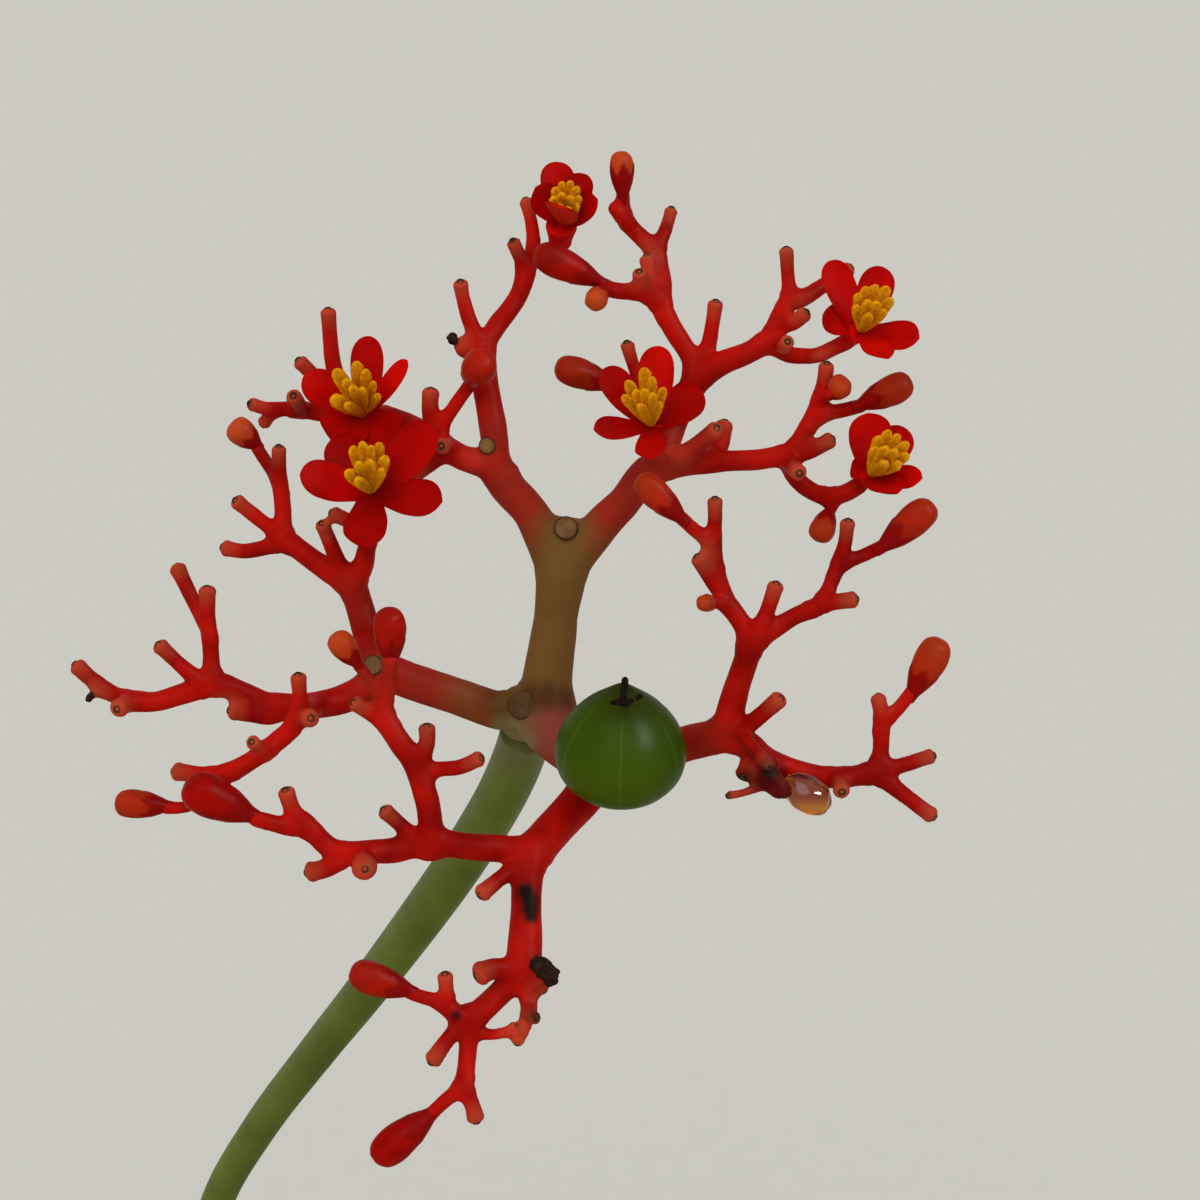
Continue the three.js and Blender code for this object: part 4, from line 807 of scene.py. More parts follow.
LOWER_LIMBS = [
    [[602, 770, 7, 42], [584, 796, 9, 41], [566, 816, 11, 38], [544, 840, 14, 39], [525, 862, 16, 41]],
    [[536, 858, 16, 32], [512, 850, 16, 28], [473, 847, 17, 27], [435, 841, 17, 28],
     [422, 837, 17, 29]],
    [[430, 850, 17, 28], [430, 818, 18, 25], [424, 790, 19, 24], [414, 763, 19, 23],
     [398, 740, 20, 23], [385, 718, 20, 24], [381, 698, 20, 22]],
    [[420, 770, 19, 18], [427, 745, 20, 16], [427, 724, 21, 16]],
    [[422, 774, 19, 18], [440, 769, 19, 16], [460, 767, 20, 15], [483, 757, 21, 16]],
    [[390, 720, 20, 17], [372, 714, 20, 15], [352, 701, 21, 16]],
    [[382, 708, 20, 19], [388, 688, 21, 17], [390, 668, 22, 17], [391, 654, 23, 18]],
    [[386, 706, 20, 14], [370, 680, 21, 12], [355, 661, 22, 13]],
    [[424, 842, 17, 20], [407, 830, 17, 15], [382, 808, 18, 16]],
    [[432, 838, 17, 28], [397, 850, 17, 26], [368, 852, 18, 24], [337, 855, 18, 25]],
    [[344, 856, 18, 20], [331, 867, 18, 18], [305, 873, 18, 20]],
    [[358, 856, 18, 22], [366, 870, 22, 25]],
    [[348, 857, 18, 22], [325, 844, 18, 21], [310, 828, 19, 21], [299, 818, 19, 22]],
    [[303, 826, 19, 20], [292, 808, 19, 17], [285, 788, 20, 17]],
    [[308, 828, 19, 21], [288, 827, 19, 18], [268, 822, 20, 17], [248, 817, 20, 16]],
    [[528, 858, 16, 20], [502, 877, 18, 16], [479, 896, 20, 17]],
    [[530, 850, 16, 36], [527, 885, 17, 31], [526, 914, 18, 31], [525, 943, 19, 35],
     [522, 979, 20, 36]],
    [[522, 974, 20, 22], [498, 968, 21, 20], [474, 976, 22, 23]],
    [[526, 968, 20, 34], [538, 983, 21, 28], [545, 992, 21, 20]],
    [[526, 970, 20, 30], [503, 990, 20, 25], [480, 1012, 21, 25], [465, 1023, 21, 26]],
    [[474, 1024, 21, 20], [453, 1013, 22, 18], [441, 998, 22, 19]],
    [[448, 1004, 22, 16], [445, 972, 23, 16]],
    [[449, 1003, 22, 17], [433, 1000, 22, 14], [403, 991, 22, 14]],
    [[474, 1014, 21, 19], [452, 1034, 22, 16], [430, 1064, 23, 17]],
    [[465, 1014, 21, 21], [468, 1034, 21, 19], [467, 1063, 21, 18], [463, 1093, 22, 20]],
    [[464, 1086, 22, 18], [472, 1104, 22, 16], [477, 1123, 22, 17]],
    [[467, 1084, 22, 18], [452, 1095, 22, 15], [437, 1108, 22, 14], [424, 1121, 22, 15]],
    [[470, 1026, 21, 12], [483, 1034, 21, 11], [506, 1032, 22, 11], [518, 1026, 22, 13]],
    [[520, 974, 20, 21], [529, 1005, 21, 17], [524, 1028, 21, 14], [516, 1045, 22, 11]],
    [[527, 1008, 21, 12], [536, 1020, 24, 12]],
]
RUNS = HUB_LIMBS + UPPER_LEFT_LIMBS + UPPER_RIGHT_LIMBS + LEFT_LIMBS + RIGHT_LIMBS + LOWER_LIMBS
SUNK_ROOT = 0.88
TIP_SWELL = 0.12
SWELL_LENGTH = 0.8 * MM
TIP_STAIN = 2.2 * MM
CARRY_REACH = 2.2 * MM
WEB = 1.1 * MM
LIMB_SIDES = 12
SKIN_GRID = 0.32 * MM
SKIN_ROUNDS = 4
SKIN_STEP = 0.4 * MM
STUB_EDGE = 0.75
SKIN_STAINS = [
    # name, colour, strength, then marks on the plan: across, down, reach, strength
    ["dull", (150, 46, 32), 0.75, [
        [524, 502, 74, 1.0], [494, 440, 46, 0.7], [612, 510, 74, 1.0], [660, 466, 52, 0.9],
        [440, 688, 70, 1.0], [372, 668, 40, 0.6], [694, 745, 50, 0.5], [355, 600, 40, 0.4],
    ]],
    ["unripe", (116, 82, 40), 1.0, [
        [522, 706, 62, 1.0], [526, 728, 36, 1.0], [550, 668, 74, 1.0], [556, 620, 74, 1.0],
        [563, 572, 70, 1.0], [566, 536, 44, 1.0], [480, 702, 52, 0.6], [552, 742, 40, 0.5],
    ]],
    ["pink", (134, 62, 54), 0.9, [[562, 728, 40, 1.0], [578, 758, 34, 0.9], [540, 744, 20, 0.8]]],
    ["green", (124, 112, 72), 0.9, [[509, 733, 24, 1.0], [521, 743, 20, 0.9], [500, 726, 14, 0.8]]],
    ["shade", (64, 34, 10), 0.85, [
        [533, 697, 22, 0.8], [547, 696, 20, 0.9], [562, 698, 18, 0.8], [498, 700, 30, 0.5],
    ]],
    ["blush", (226, 66, 46), 0.6, [[674, 447, 26, 1.0], [692, 438, 18, 0.8], [470, 462, 18, 0.5]]],
    ["wither", (72, 6, 10), 0.9, [
        [768, 778, 26, 1.0], [782, 792, 20, 1.0], [745, 776, 16, 0.9], [748, 758, 16, 0.5],
        [526, 1010, 14, 0.4], [540, 984, 20, 0.4],
    ]],
    ["scorch", (24, 9, 6), 1.0, [
        [450, 339, 10, 1.0], [246, 402, 8, 0.9], [724, 796, 9, 1.0], [742, 780, 9, 0.9],
        [770, 772, 9, 0.8], [511, 239, 7, 0.8], [89, 698, 9, 0.9], [526, 892, 14, 1.0],
        [529, 900, 15, 1.0], [530, 908, 14, 1.0], [531, 916, 10, 1.0], [536, 1018, 9, 0.9],
        [456, 1016, 8, 0.8],
    ]],
]


def limb_of(run, swell=0.0, edge=1.0):
    """A limb: its axis, its radii, swollen at its tip by a share, and how round its end is.

    An edge of 1 makes the end half a ball, a smaller one leaves a flat in its middle.
    """
    run = np.asarray(run, float)
    radii = plan_radius(run[:, 3], run[:, 2])
    radii[0] *= SUNK_ROOT
    axis = spine(on_plan(run[:, :3]), 5)
    width = np.interp(np.linspace(0, len(run) - 1, len(axis)), np.arange(len(run)), radii)
    to_tip = np.linalg.norm(axis - axis[-1], axis=1)
    return axis, width * (1 + swell * np.exp(-to_tip / SWELL_LENGTH)), edge


def limb_gap(points, axis, radii, edge):
    """How far points are outside one limb, and the way out of it.

    The limb is a chain of tapering rods. Past its last point it ends in a flat face whose edge
    is rounded.
    """
    step = np.diff(axis, axis=0)
    offset = points[:, None] - axis[:-1]
    share = np.clip((offset * step).sum(-1) / (step * step).sum(-1), 0, 1)
    offset = offset - share[..., None] * step
    far = np.linalg.norm(offset, axis=-1) + 1e-12
    radius = radii[:-1] + share * np.diff(radii)
    nearest = (far - radius).argmin(1)
    row = np.arange(len(points))
    gap = (far - radius)[row, nearest]
    way = offset[row, nearest] / far[row, nearest][:, None]
    heading = step[-1] / np.linalg.norm(step[-1])
    edge = edge * radii[-1]
    from_end = (points - axis[-1]) @ heading
    beyond = from_end + edge
    sideways = points - axis[-1] - from_end[:, None] * heading
    spread = np.linalg.norm(sideways, axis=1) + 1e-12
    over_edge = np.maximum(spread - (radii[-1] - edge), 0)
    reach = np.hypot(beyond, over_edge) + 1e-12
    end_way = beyond[:, None] * heading + (over_edge / spread)[:, None] * sideways
    gap = np.where(beyond > 0, reach - edge, gap)
    way = np.where((beyond > 0)[:, None], end_way / reach[:, None], way)
    return gap, way


def skin_gap(points, limbs):
    """How far points are outside the whole head, and the way out of it.

    Where the two nearest limbs are about as near, a web fills the fork between them: it lowers the
    smaller gap by the square of how nearly equal the two are. Limbs that run side by side, whose
    ways out agree, get no web.
    """
    best, second = np.ones(len(points)), np.ones(len(points))
    best_way, second_way = np.zeros_like(points), np.zeros_like(points)
    for axis, radii, edge in limbs:
        margin = radii.max() + 1.1 * WEB
        low, high = axis.min(0) - margin, axis.max(0) + margin
        near = np.flatnonzero(((points > low) & (points < high)).all(1))
        gap, out = limb_gap(points[near], axis, radii, edge)
        won = gap < best[near]
        beaten = near[won]
        second[beaten], second_way[beaten] = best[beaten], best_way[beaten]
        best[beaten], best_way[beaten] = gap[won], out[won]
        next_best = ~won & (gap < second[near])
        second[near[next_best]] = gap[next_best]
        second_way[near[next_best]] = out[next_best]
    even = np.clip(1 - (second - best) / WEB, 0, 1)
    apart = np.clip(3 * (1 - (best_way * second_way).sum(1)), 0, 1)
    part = (even * apart / 2)[:, None]
    return best - WEB / 4 * even**2 * apart, (1 - part) * best_way + part * second_way


def wrapped(shape, grid):
    """The one outer skin of a heap of overlapping closed bodies, in squares of a grid size."""
    heap = placed("Heap", mesh_of("Heap", shape[0] / MM, shape[1]))
    wrap = heap.modifiers.new("Wrap", "REMESH")
    wrap.mode = "VOXEL"
    wrap.voxel_size = grid / MM
    done = heap.evaluated_get(bpy.context.evaluated_depsgraph_get()).to_mesh()
    done.calc_loop_triangles()
    found = np.zeros(len(done.vertices) * 3)
    done.vertices.foreach_get("co", found)
    triangles = np.zeros(len(done.loop_triangles) * 3, int)
    done.loop_triangles.foreach_get("vertices", triangles)
    bpy.data.objects.remove(heap)
    return found.reshape(-1, 3) * MM, triangles.reshape(-1, 3)


def relaxed(points, faces, amount):
    """Each point moved part of the way to the middle of its neighbours."""
    here, there = np.vstack([faces[:, [0, 1]], faces[:, [1, 2]], faces[:, [2, 0]]]).T
    sums = [np.bincount(here, points[there, k], len(points)) for k in range(3)]
    middle = np.stack(sums, -1) / np.bincount(here, minlength=len(points))[:, None]
    return points + amount * (middle - points)


def marked(points, marks):
    """A mask from marks on the plan: each fades from its strength in the middle to 0 at its reach."""
    seen = seen_on_plan(points)
    mask = np.zeros(len(points))
    for across, down, reach, strength in marks:
        away = np.hypot(*(seen - [across, down]).T) / reach
        mask = np.maximum(mask, strength * np.clip(1.6 * (1 - away), 0, 1))
    return mask


FLOWER_BASES = [
    [560, 243, 2.8], [371, 421, 5.4], [377, 508, 13], [661, 440, 13.3], [852, 337, 10],
    [864, 481, 11],
]
BUDS = [
    # base, tip, widest width on the plan, and how orange it is
    [[472, 380, 11], [483, 360, 17], 35, 0.12], [[258, 446, 5], [231, 423, 6], 28, 0.8],
    [[612, 385, 6], [556, 365, 8], 31, 0.2], [[860, 405, 10], [912, 381, 11], 31, 0.3],
    [[830, 396, 10], [845, 381, 12], 25, 0.55], [[830, 510, 9], [818, 541, 10], 26, 0.4],
    [[598, 281, 8], [535, 251, 10], 33, 0.05], [[602, 288, 8], [593, 306, 10], 23, 0.9],
    [[623, 198, 7], [621, 151, 8], 24, 0.7], [[168, 806, 12], [115, 803, 12], 29, 0.3],
    [[682, 519, 20], [638, 477, 21], 30, 0.3], [[882, 547, 18], [934, 504, 19], 33, 0.22],
    [[912, 694, 15], [942, 639, 16], 34, 0.4], [[391, 662, 22], [389, 608, 24], 33, 0.06],
    [[358, 664, 22], [333, 634, 23], 27, 0.65], [[251, 815, 20], [184, 785, 22], 43, 0.0],
    [[410, 991, 22], [350, 971, 23], 34, 0.1], [[431, 1114, 22], [374, 1160, 22], 37, 0.0],
    [[714, 603, 17], [702, 603, 22], 18, 0.5],
]
limbs = [limb_of(run) for run in RUNS]
grown_over = on_plan([STALK_ON_PLAN[0, :3], *FLOWER_BASES, *(bud[0] for bud in BUDS)])
stubs = []
for i, (axis, radii, _) in enumerate(limbs):
    end = axis[-1:]
    others = [limb_gap(end, *limb)[0][0] for j, limb in enumerate(limbs) if j != i]
    buried = min(others) < 0.2 * radii[-1]
    carries = np.linalg.norm(grown_over - end, axis=1).min() < CARRY_REACH
    if not buried and not carries:
        limbs[i] = limb_of(RUNS[i], TIP_SWELL, STUB_EDGE)
        axis, radii, _ = limbs[i]
        stubs.append((axis[-1], unit(axis[-1] - axis[-2]), radii[-1]))

heap = heaped([closed(tube(axis, radii, LIMB_SIDES)) for axis, radii, _ in limbs])
skin, skin_faces = wrapped(heap, SKIN_GRID)
for _ in range(SKIN_ROUNDS):
    skin = relaxed(skin, skin_faces, 0.5)
    for _ in range(2):
        gap, way = skin_gap(skin, limbs)
        step = np.clip(gap, -SKIN_STEP, SKIN_STEP) / (way**2).sum(1)
        skin -= step[:, None] * way
gap, way = skin_gap(skin, limbs)
lumps = 0.025 * MM * ripple(skin, 5 * MM, 31) + 0.012 * MM * ripple(skin, 2.2 * MM, 32)
skin = relaxed(skin + lumps[:, None] * way, skin_faces, 0.5)

tips = np.zeros(len(skin))
for end, _, _ in stubs:
    away = np.linalg.norm(skin - end, axis=1)
    tips = np.maximum(tips, np.clip(1.25 - away / TIP_STAIN, 0, 1))
coral = finish(
    "Coral_skin", (190, 19, 7), (136, 6, 3), 6 * MM, bump=0.03 * MM, roughness=0.5, gleam=0.03
)
stain(coral, "tip", (192, 84, 54), 0.6)
skin_marks = {"tip": tips}
for label, colour, strength, marks in SKIN_STAINS:
    stain(coral, label, colour, strength)
    skin_marks[label] = marked(skin, marks)
piece("coral_limbs", (skin, skin_faces, skin_marks), coral, "coral", "coral_head")

# Scars on the limbs
# The corky rings left where flowers and bracts dropped: one on the end of each stub,
# and four broad ones that face out from the forks.

FORK_SCARS = [
    # across, down, width, how dark its face is, how far it stands out in millimetres
    [522, 705, 29, 0.6, 0.3],
    [566, 528, 24, 0.15, 0.5],
    [487, 446, 17, 0.0, 0.3],
    [373, 665, 20, 0.15, 0.3],
]
# profiles of the rings: radius and height as shares of a ring's size
PIT_PROFILE = np.array(
    [[0.02, 0.0], [0.35, 0.0], [0.6, 0.16], [0.8, 0.18], [1.0, -0.06], [1.02, -0.6]]
)
PIT_LARGEST = 0.5 * MM
PIT_SHARE = 0.52
PIT_SIDES = 16
PIT_DARK = np.array([1, 1, 0.95, 0.6, 0.2, 0, 1, 0])
DISC_PROFILE = np.array(
    [[0.02, 0.1], [0.7, 0.1], [0.82, 0.13], [0.92, 0.1], [1.0, -0.02], [1.02, -0.9]]
)
DISC_SIDES = 36
DISC_DARK = np.array([0, 0, 0.3, 0.7, 0.8, 0.4, 0, 0])
SIGHT_DEPTHS = np.linspace(30, -5, 700)


def set_on(profile, foot, way, sides, girth=1.0):
    """Rings of a lathe whose axis leaves foot along way; the profile is (radius, height).

    girth, one number or one for each point, is a factor on the radius.
    """
    side = TO_EYE - (TO_EYE @ way) * way
    if np.linalg.norm(side) < 0.1:
        side = UP_PLAN - (UP_PLAN @ way) * way
    side = unit(side)
    angle = around(sides)[:, None]
    circle = np.cos(angle) * side + np.sin(angle) * np.cross(way, side)
    radii, heights = profile.T[..., None]
    wide = radii * girth * np.ones(sides)
    return foot + heights[..., None] * way + wide[..., None] * circle


def scar(profile, size, foot, way, sides, shades):
    """A ring scar whose rings, and then its two middles, are darkened as much as the shades say."""
    rings = set_on(profile * size, foot, way, sides)
    return closed(rings, dark=(shades[:-2, None], *shades[-2:]))


scars = []
for end, heading, radius in stubs:
    way = unit(heading + 0.6 * TO_EYE)
    face = end + STUB_EDGE * radius * (way - heading) - 0.02 * MM * way
    size = min(PIT_SHARE * radius, PIT_LARGEST)
    scars.append(scar(PIT_PROFILE, size, face, way, PIT_SIDES, PIT_DARK))
for across, down, width, darkness, lift in FORK_SCARS:
    line = on_plan([[across, down, depth] for depth in SIGHT_DEPTHS])
    gap, out = skin_gap(line, limbs)
    first = (gap < 0).argmax()
    way = unit(unit(out[first]) + 2 * TO_EYE)
    face = line[first] + lift * MM * TO_EYE
    shades = np.maximum(DISC_DARK, darkness)
    scars.append(scar(DISC_PROFILE, plan_radius(width, 4), face, way, DISC_SIDES, shades))
cork = finish(
    "Scar_cork", (136, 98, 56), (112, 76, 40), 1.2 * MM, bump=0.05 * MM, roughness=0.75, gleam=0.1
)
stain(cork, "dark", (24, 8, 5), 0.95)
piece("limb_scars", heaped(scars), cork, "coral")

# Closed buds
# Egg-shaped buds on thin stalks: a calyx of five short sepals with dark points, and folded petals
# that show orange towards the tip on the older ones.

BUD_PROFILE = [  # radius as a share of the half width, height as a share of the length
    [0.02, -0.14], [0.3, -0.12], [0.38, 0.0], [0.62, 0.17], [0.88, 0.39], [1.0, 0.64],
    [0.88, 0.85], [0.48, 0.975], [0.03, 1.0],
]
BUD_SIDES = 30
SEPALS = 5
SEPAL_SHARE = 0.46
# sepals of another length, for single buds by their row in BUDS
OTHER_SEPALS = {6: 0.4, 8: 0.78, 15: 0.4, 16: 0.42, 17: 0.42}


def grown(profile, foot, end, half, sides, girth=1.0):
    """Rings of a lathe from foot to end; the profile is in shares of the half width and length."""
    size = [half, np.linalg.norm(end - foot)]
    return set_on(profile * size, foot, unit(end - foot), sides, girth)


buds = []
bud_path = spine(BUD_PROFILE, 6)
share = bud_path[:, 1:]
for i, (base, tip, width, orange) in enumerate(BUDS):
    angle = around(BUD_SIDES) + i
    sepal_turn = (angle * SEPALS / (2 * np.pi)) % 1
    sepal_line = OTHER_SEPALS.get(i, SEPAL_SHARE) * (1 - 0.75 * np.abs(sepal_turn - 0.5))
    calyx = np.clip((sepal_line - share) / 0.03, 0, 1)
    fold = 0.035 * np.cos(5 * angle + 5 * share) * np.clip(3 * (share - 0.4), 0, 1)
    girth = 1 + 0.05 * calyx + fold
    half = plan_radius(width, base[2])
    rings = grown(bud_path, on_plan(base), on_plan(tip), half, BUD_SIDES, girth)
    ripe = orange * (1 - calyx) * np.clip(0.35 + 0.8 * share, 0, 1)
    point = np.clip(1 - np.abs(share - sepal_line) / 0.05, 0, 1)
    point = point * np.clip(1 - 5 * np.abs(sepal_turn - 0.5), 0.25, 1)
    buds.append(closed(rings, orange=(ripe, 0, orange), calyx=(calyx, 1, 0), point=(point, 0, 0)))
bud_red = finish(
    "Bud_red", (172, 9, 3), (132, 4, 2), 4 * MM, bump=0.02 * MM, roughness=0.4, gleam=0.03
)
stain(bud_red, "orange", (196, 78, 32), 1.0)
stain(bud_red, "calyx", (136, 8, 6), 0.9)
stain(bud_red, "point", (56, 10, 6), 0.75)
piece("closed_buds", heaped(buds), bud_red, "coral", "coral_head")

# Dried scabs
# Charred, ragged lumps of dried sap and dead flowers that cling to the limbs. Each is a crumbly
# ball, dull and nearly black, from its foot on a limb to its tip.

SCABS = [
    # foot and tip on the plan, width
    [[532, 959, 21], [557, 981, 22.5], 20],
    [[456, 343, 8], [448, 334, 8], 11],
    [[93, 693, 10], [87, 702, 10], 7],
    [[764, 772, 17], [772, 775, 18], 8],
]
SCAB_PROFILE = [[0.05, 0], [0.7, 0.1], [1, 0.45], [0.8, 0.85], [0.05, 1]]
SCAB_SIDES = 34
SCAB_ROUGHNESS = 0.13

scabs = []
for low, high, width in SCABS:
    foot, end = on_plan(low), on_plan(high)
    rings = grown(spine(SCAB_PROFILE, 7), foot, end, plan_radius(width, low[2]), SCAB_SIDES)
    ragged = ripple(rings, 1.1 * MM, 51) + 0.7 * ripple(rings, 0.6 * MM, 52)
    middle = (foot + end) / 2
    swell = 1 + SCAB_ROUGHNESS * ragged
    scabs.append(closed(middle + (rings - middle) * swell[..., None]))
char = finish("Char", (62, 30, 14), (18, 9, 7), 0.8 * MM, bump=0.2 * MM, roughness=0.8, gleam=0.1)
piece("dried_scabs", heaped(scabs), char, "withered", "coral_head")

# Open flowers
# Five broad scarlet petals, thin and slightly hollow, with round tips, spread from the mouth of a
# small red cup. A bundle of fat, powdery yellow anthers springs from the same mouth.

CUP_PROFILE = [[0.05, 0], [0.8, 0.02], [0.85, 0.2], [1.0, 0.48], [1.1, 0.68], [0.3, 0.77]]
CUP_SIDES = 30
PETAL_THICKNESS = 0.32 * MM
PETAL_BOW = 0.07
PETAL_STEPS = 28
PETAL_SIDES = 28
PETAL_SUNK = 0.9 * MM
PETAL_CLEAR = 0.4 * MM
ANTHER_SIDES = 14
ANTHER_SUNK = 0.6 * MM
ANTHER_PROFILE = [  # radius as a share of the half width, height as a share of the length
    [0.05, 0], [0.6, 0.04], [0.85, 0.3], [1.0, 0.6], [0.95, 0.86], [0.6, 0.97], [0.05, 1],
]
FLOWERS = [
    # the mouth of the cup and the cup's girth, then the tips of the petals with their widths and
    # how much painted shade darkens them, then the tips of the anthers with their widths
    {
        "mouth": [562, 218, 6],
        "girth": 1.6,
        "petals": [
            [536, 187, 8, 34, 0.3], [556, 162, 4, 35, 0.1], [585, 174, 5, 30, 0.7],
            [597, 199, 9, 32, 0.2], [560, 206, 12.5, 37, 0.0],
        ],
        "anthers": [
            [553, 198, 10, 11], [555, 188, 9.5, 11], [562, 182, 9, 10], [571, 181, 9, 10],
            [578, 187, 9.5, 10], [580, 197, 10, 10], [577, 205, 10.5, 11], [569, 209, 11, 11],
            [560, 206, 11, 10], [562, 194, 11.5, 11], [571, 197, 11.5, 11],
        ],
    },
    {
        "mouth": [363, 412, 8],
        "girth": 1.0,
        "petals": [
            [303, 377, 9, 38, 0.3], [368, 336, 7, 33, 0.4], [407, 360, 9, 20, 0.0],
            [391, 443, 13, 50, 0.4], [331, 439, 13, 50, 0.35],
        ],
        "anthers": [
            [335, 370, 12, 15], [345, 380, 13, 12], [356, 362, 12, 14], [366, 370, 12.5, 12],
            [374, 382, 12.3, 9], [379, 395, 12, 9], [362, 389, 13.5, 11], [352, 387, 14, 12],
            [333, 399, 13.5, 16], [346, 405, 13.5, 11],
        ],
    },
    {
        "mouth": [370, 488, 16],
        "girth": 1.0,
        "petals": [
            [300, 474, 18, 41, 0.1], [334, 437, 16, 44, 0.8], [433, 427, 17, 48, 0.5],
            [442, 501, 19, 40, 0.9], [362, 547, 20, 44, 0.8],
        ],
        "anthers": [
            [352, 447, 20, 13], [362, 442, 20.5, 12], [371, 446, 20.5, 11], [380, 443, 20, 12],
            [386, 457, 20.5, 13], [382, 470, 20.5, 12], [370, 461, 21.5, 13], [358, 463, 21.5, 12],
            [347, 472, 21, 13], [357, 480, 21.5, 12],
        ],
    },
    {
        "mouth": [649, 422, 16],
        "girth": 1.0,
        "petals": [
            [603, 369, 17, 34, 0.7], [658, 346, 14.5, 37, 0.2], [702, 391, 16, 42, 0.8],
            [650, 459, 21, 32, 0.5], [594, 429, 19, 26, 0.6],
        ],
        "anthers": [
            [627, 381, 19, 13], [623, 396, 20, 11], [644, 368, 19, 14], [652, 377, 19.5, 11],
            [664, 388, 19.5, 10], [660, 403, 19.5, 10], [635, 391, 20.5, 12], [644, 390, 21, 12],
            [653, 394, 21, 11], [640, 405, 20.5, 11],
        ],
    },
    {
        "mouth": [864, 329, 12.5],
        "girth": 1.2,
        "petals": [
            [829, 261, 13, 34, 0.1], [883, 267, 12, 36, 0.2], [919, 338, 16, 33, 0.1],
            [888, 358, 17, 28, 0.0], [823, 314, 12, 32, 0.4],
        ],
        "anthers": [
            [856, 306, 16, 11], [858, 294, 16, 12], [866, 287, 16, 12], [876, 285, 16, 12],
            [888, 287, 16.5, 13], [892, 299, 16.5, 12], [885, 311, 17.5, 11], [868, 301, 17.5, 12],
            [878, 303, 18, 12], [870, 315, 17.5, 11],
        ],
    },
    {
        "mouth": [873, 472, 13],
        "girth": 1.2,
        "petals": [
            [869, 413, 14, 44, 0.2], [907, 429, 13, 36, 0.4], [922, 478, 16, 25, 0.1],
            [897, 493, 18, 34, 0.3], [853, 461, 13, 30, 0.2],
        ],
        "anthers": [
            [875, 448, 17, 12], [879, 437, 17, 13], [889, 431, 17, 13], [899, 435, 17, 12],
            [908, 443, 17.5, 12], [908, 455, 18, 12], [900, 464, 19, 12], [886, 448, 19.5, 13],
            [896, 451, 19.5, 12], [886, 463, 19, 12],
        ],
    },
]

scarlet = finish(
    "Petal_scarlet", (212, 10, 2), (166, 3, 1), 6 * MM, bump=0.03 * MM, roughness=0.6, gleam=0.02
)
stain(scarlet, "claw", (150, 3, 1), 0.7)
# painted light: a paler orange on the petals' backs stands in for light shining through them
stain(scarlet, "back", (214, 48, 20), 0.5)
# painted shadow: thin darker lines along the petals' edges
stain(scarlet, "rim", (144, 2, 2), 0.3)
# painted shade: petals that lie in shadow are darkened, each by its own amount
stain(scarlet, "dark", (126, 2, 1), 0.75)
pollen = finish(
    "Pollen_yellow",
    (255, 186, 10),
    (236, 142, 6),
    0.5 * MM,
    bump=0.2 * MM,
    roughness=0.85,
    gleam=0.03,
)
stain(pollen, "groove", (150, 62, 4), 0.4)


def petal_width(share):
    """Half the width of a petal along its length, as a share of the widest.

    It widens from its foot by the square of a sine, and rounds off bluntly in the last third.
    """
    foot = 0.58 + 0.42 * np.sin(np.minimum(share / 0.6, 1) * np.pi / 2) ** 2
    return foot * np.sqrt(np.clip(1 - (np.maximum(0, share - 0.66) / 0.34) ** 2.3, 0.0004, 1))


def petal(root, tip, half, facing, curl, dark):
    """A petal: a thin lens carried along a quadratic bend from its root to its tip.

    The lens is hollow towards the side that faces facing, and its edges wave a little.
    """
    reach = tip - root
    sideways = unit(np.cross(facing, reach))
    inward = unit(np.cross(reach, sideways))
    bend = root + reach / 2 - PETAL_BOW * np.linalg.norm(reach) * inward
    t = np.sin(np.linspace(0, 1, PETAL_STEPS) * np.pi / 2)[:, None]
    path = (1 - t) ** 2 * root + 2 * t * (1 - t) * bend + t**2 * tip
    across, through = np.cos(around(PETAL_SIDES)), np.sin(around(PETAL_SIDES))
    spread = half * petal_width(t)
    lens = PETAL_THICKNESS / 2 * through * (1 - 0.55 * across**2)
    hollow = 0.24 * spread * across**2
    groove = -0.09 * MM * np.exp(-((across / 0.16) ** 2)) * np.sin(np.pi * t)
    frill = 0.16 * MM * np.sin(6 * t + curl) * across**2 * np.sign(across)
    lift = lens + hollow + groove + frill
    rings = path[:, None] + (spread * across)[..., None] * sideways + lift[..., None] * inward
    claw = np.clip(1 - 2.2 * t, 0, 1)
    # painted shadow lines along the petal's edges
    rim = np.clip(np.abs(across) * 4 - 3, 0, 1)
    # painted light shining through the petal, on its back face
    back = np.clip(-2 * through, 0, 1)
    # the last value darkens the whole petal with painted shade
    return closed(
        rings, claw=(claw, 1, 0), rim=(rim, 0, 0), back=(back, 0, 0), dark=(dark, dark, dark)
    )


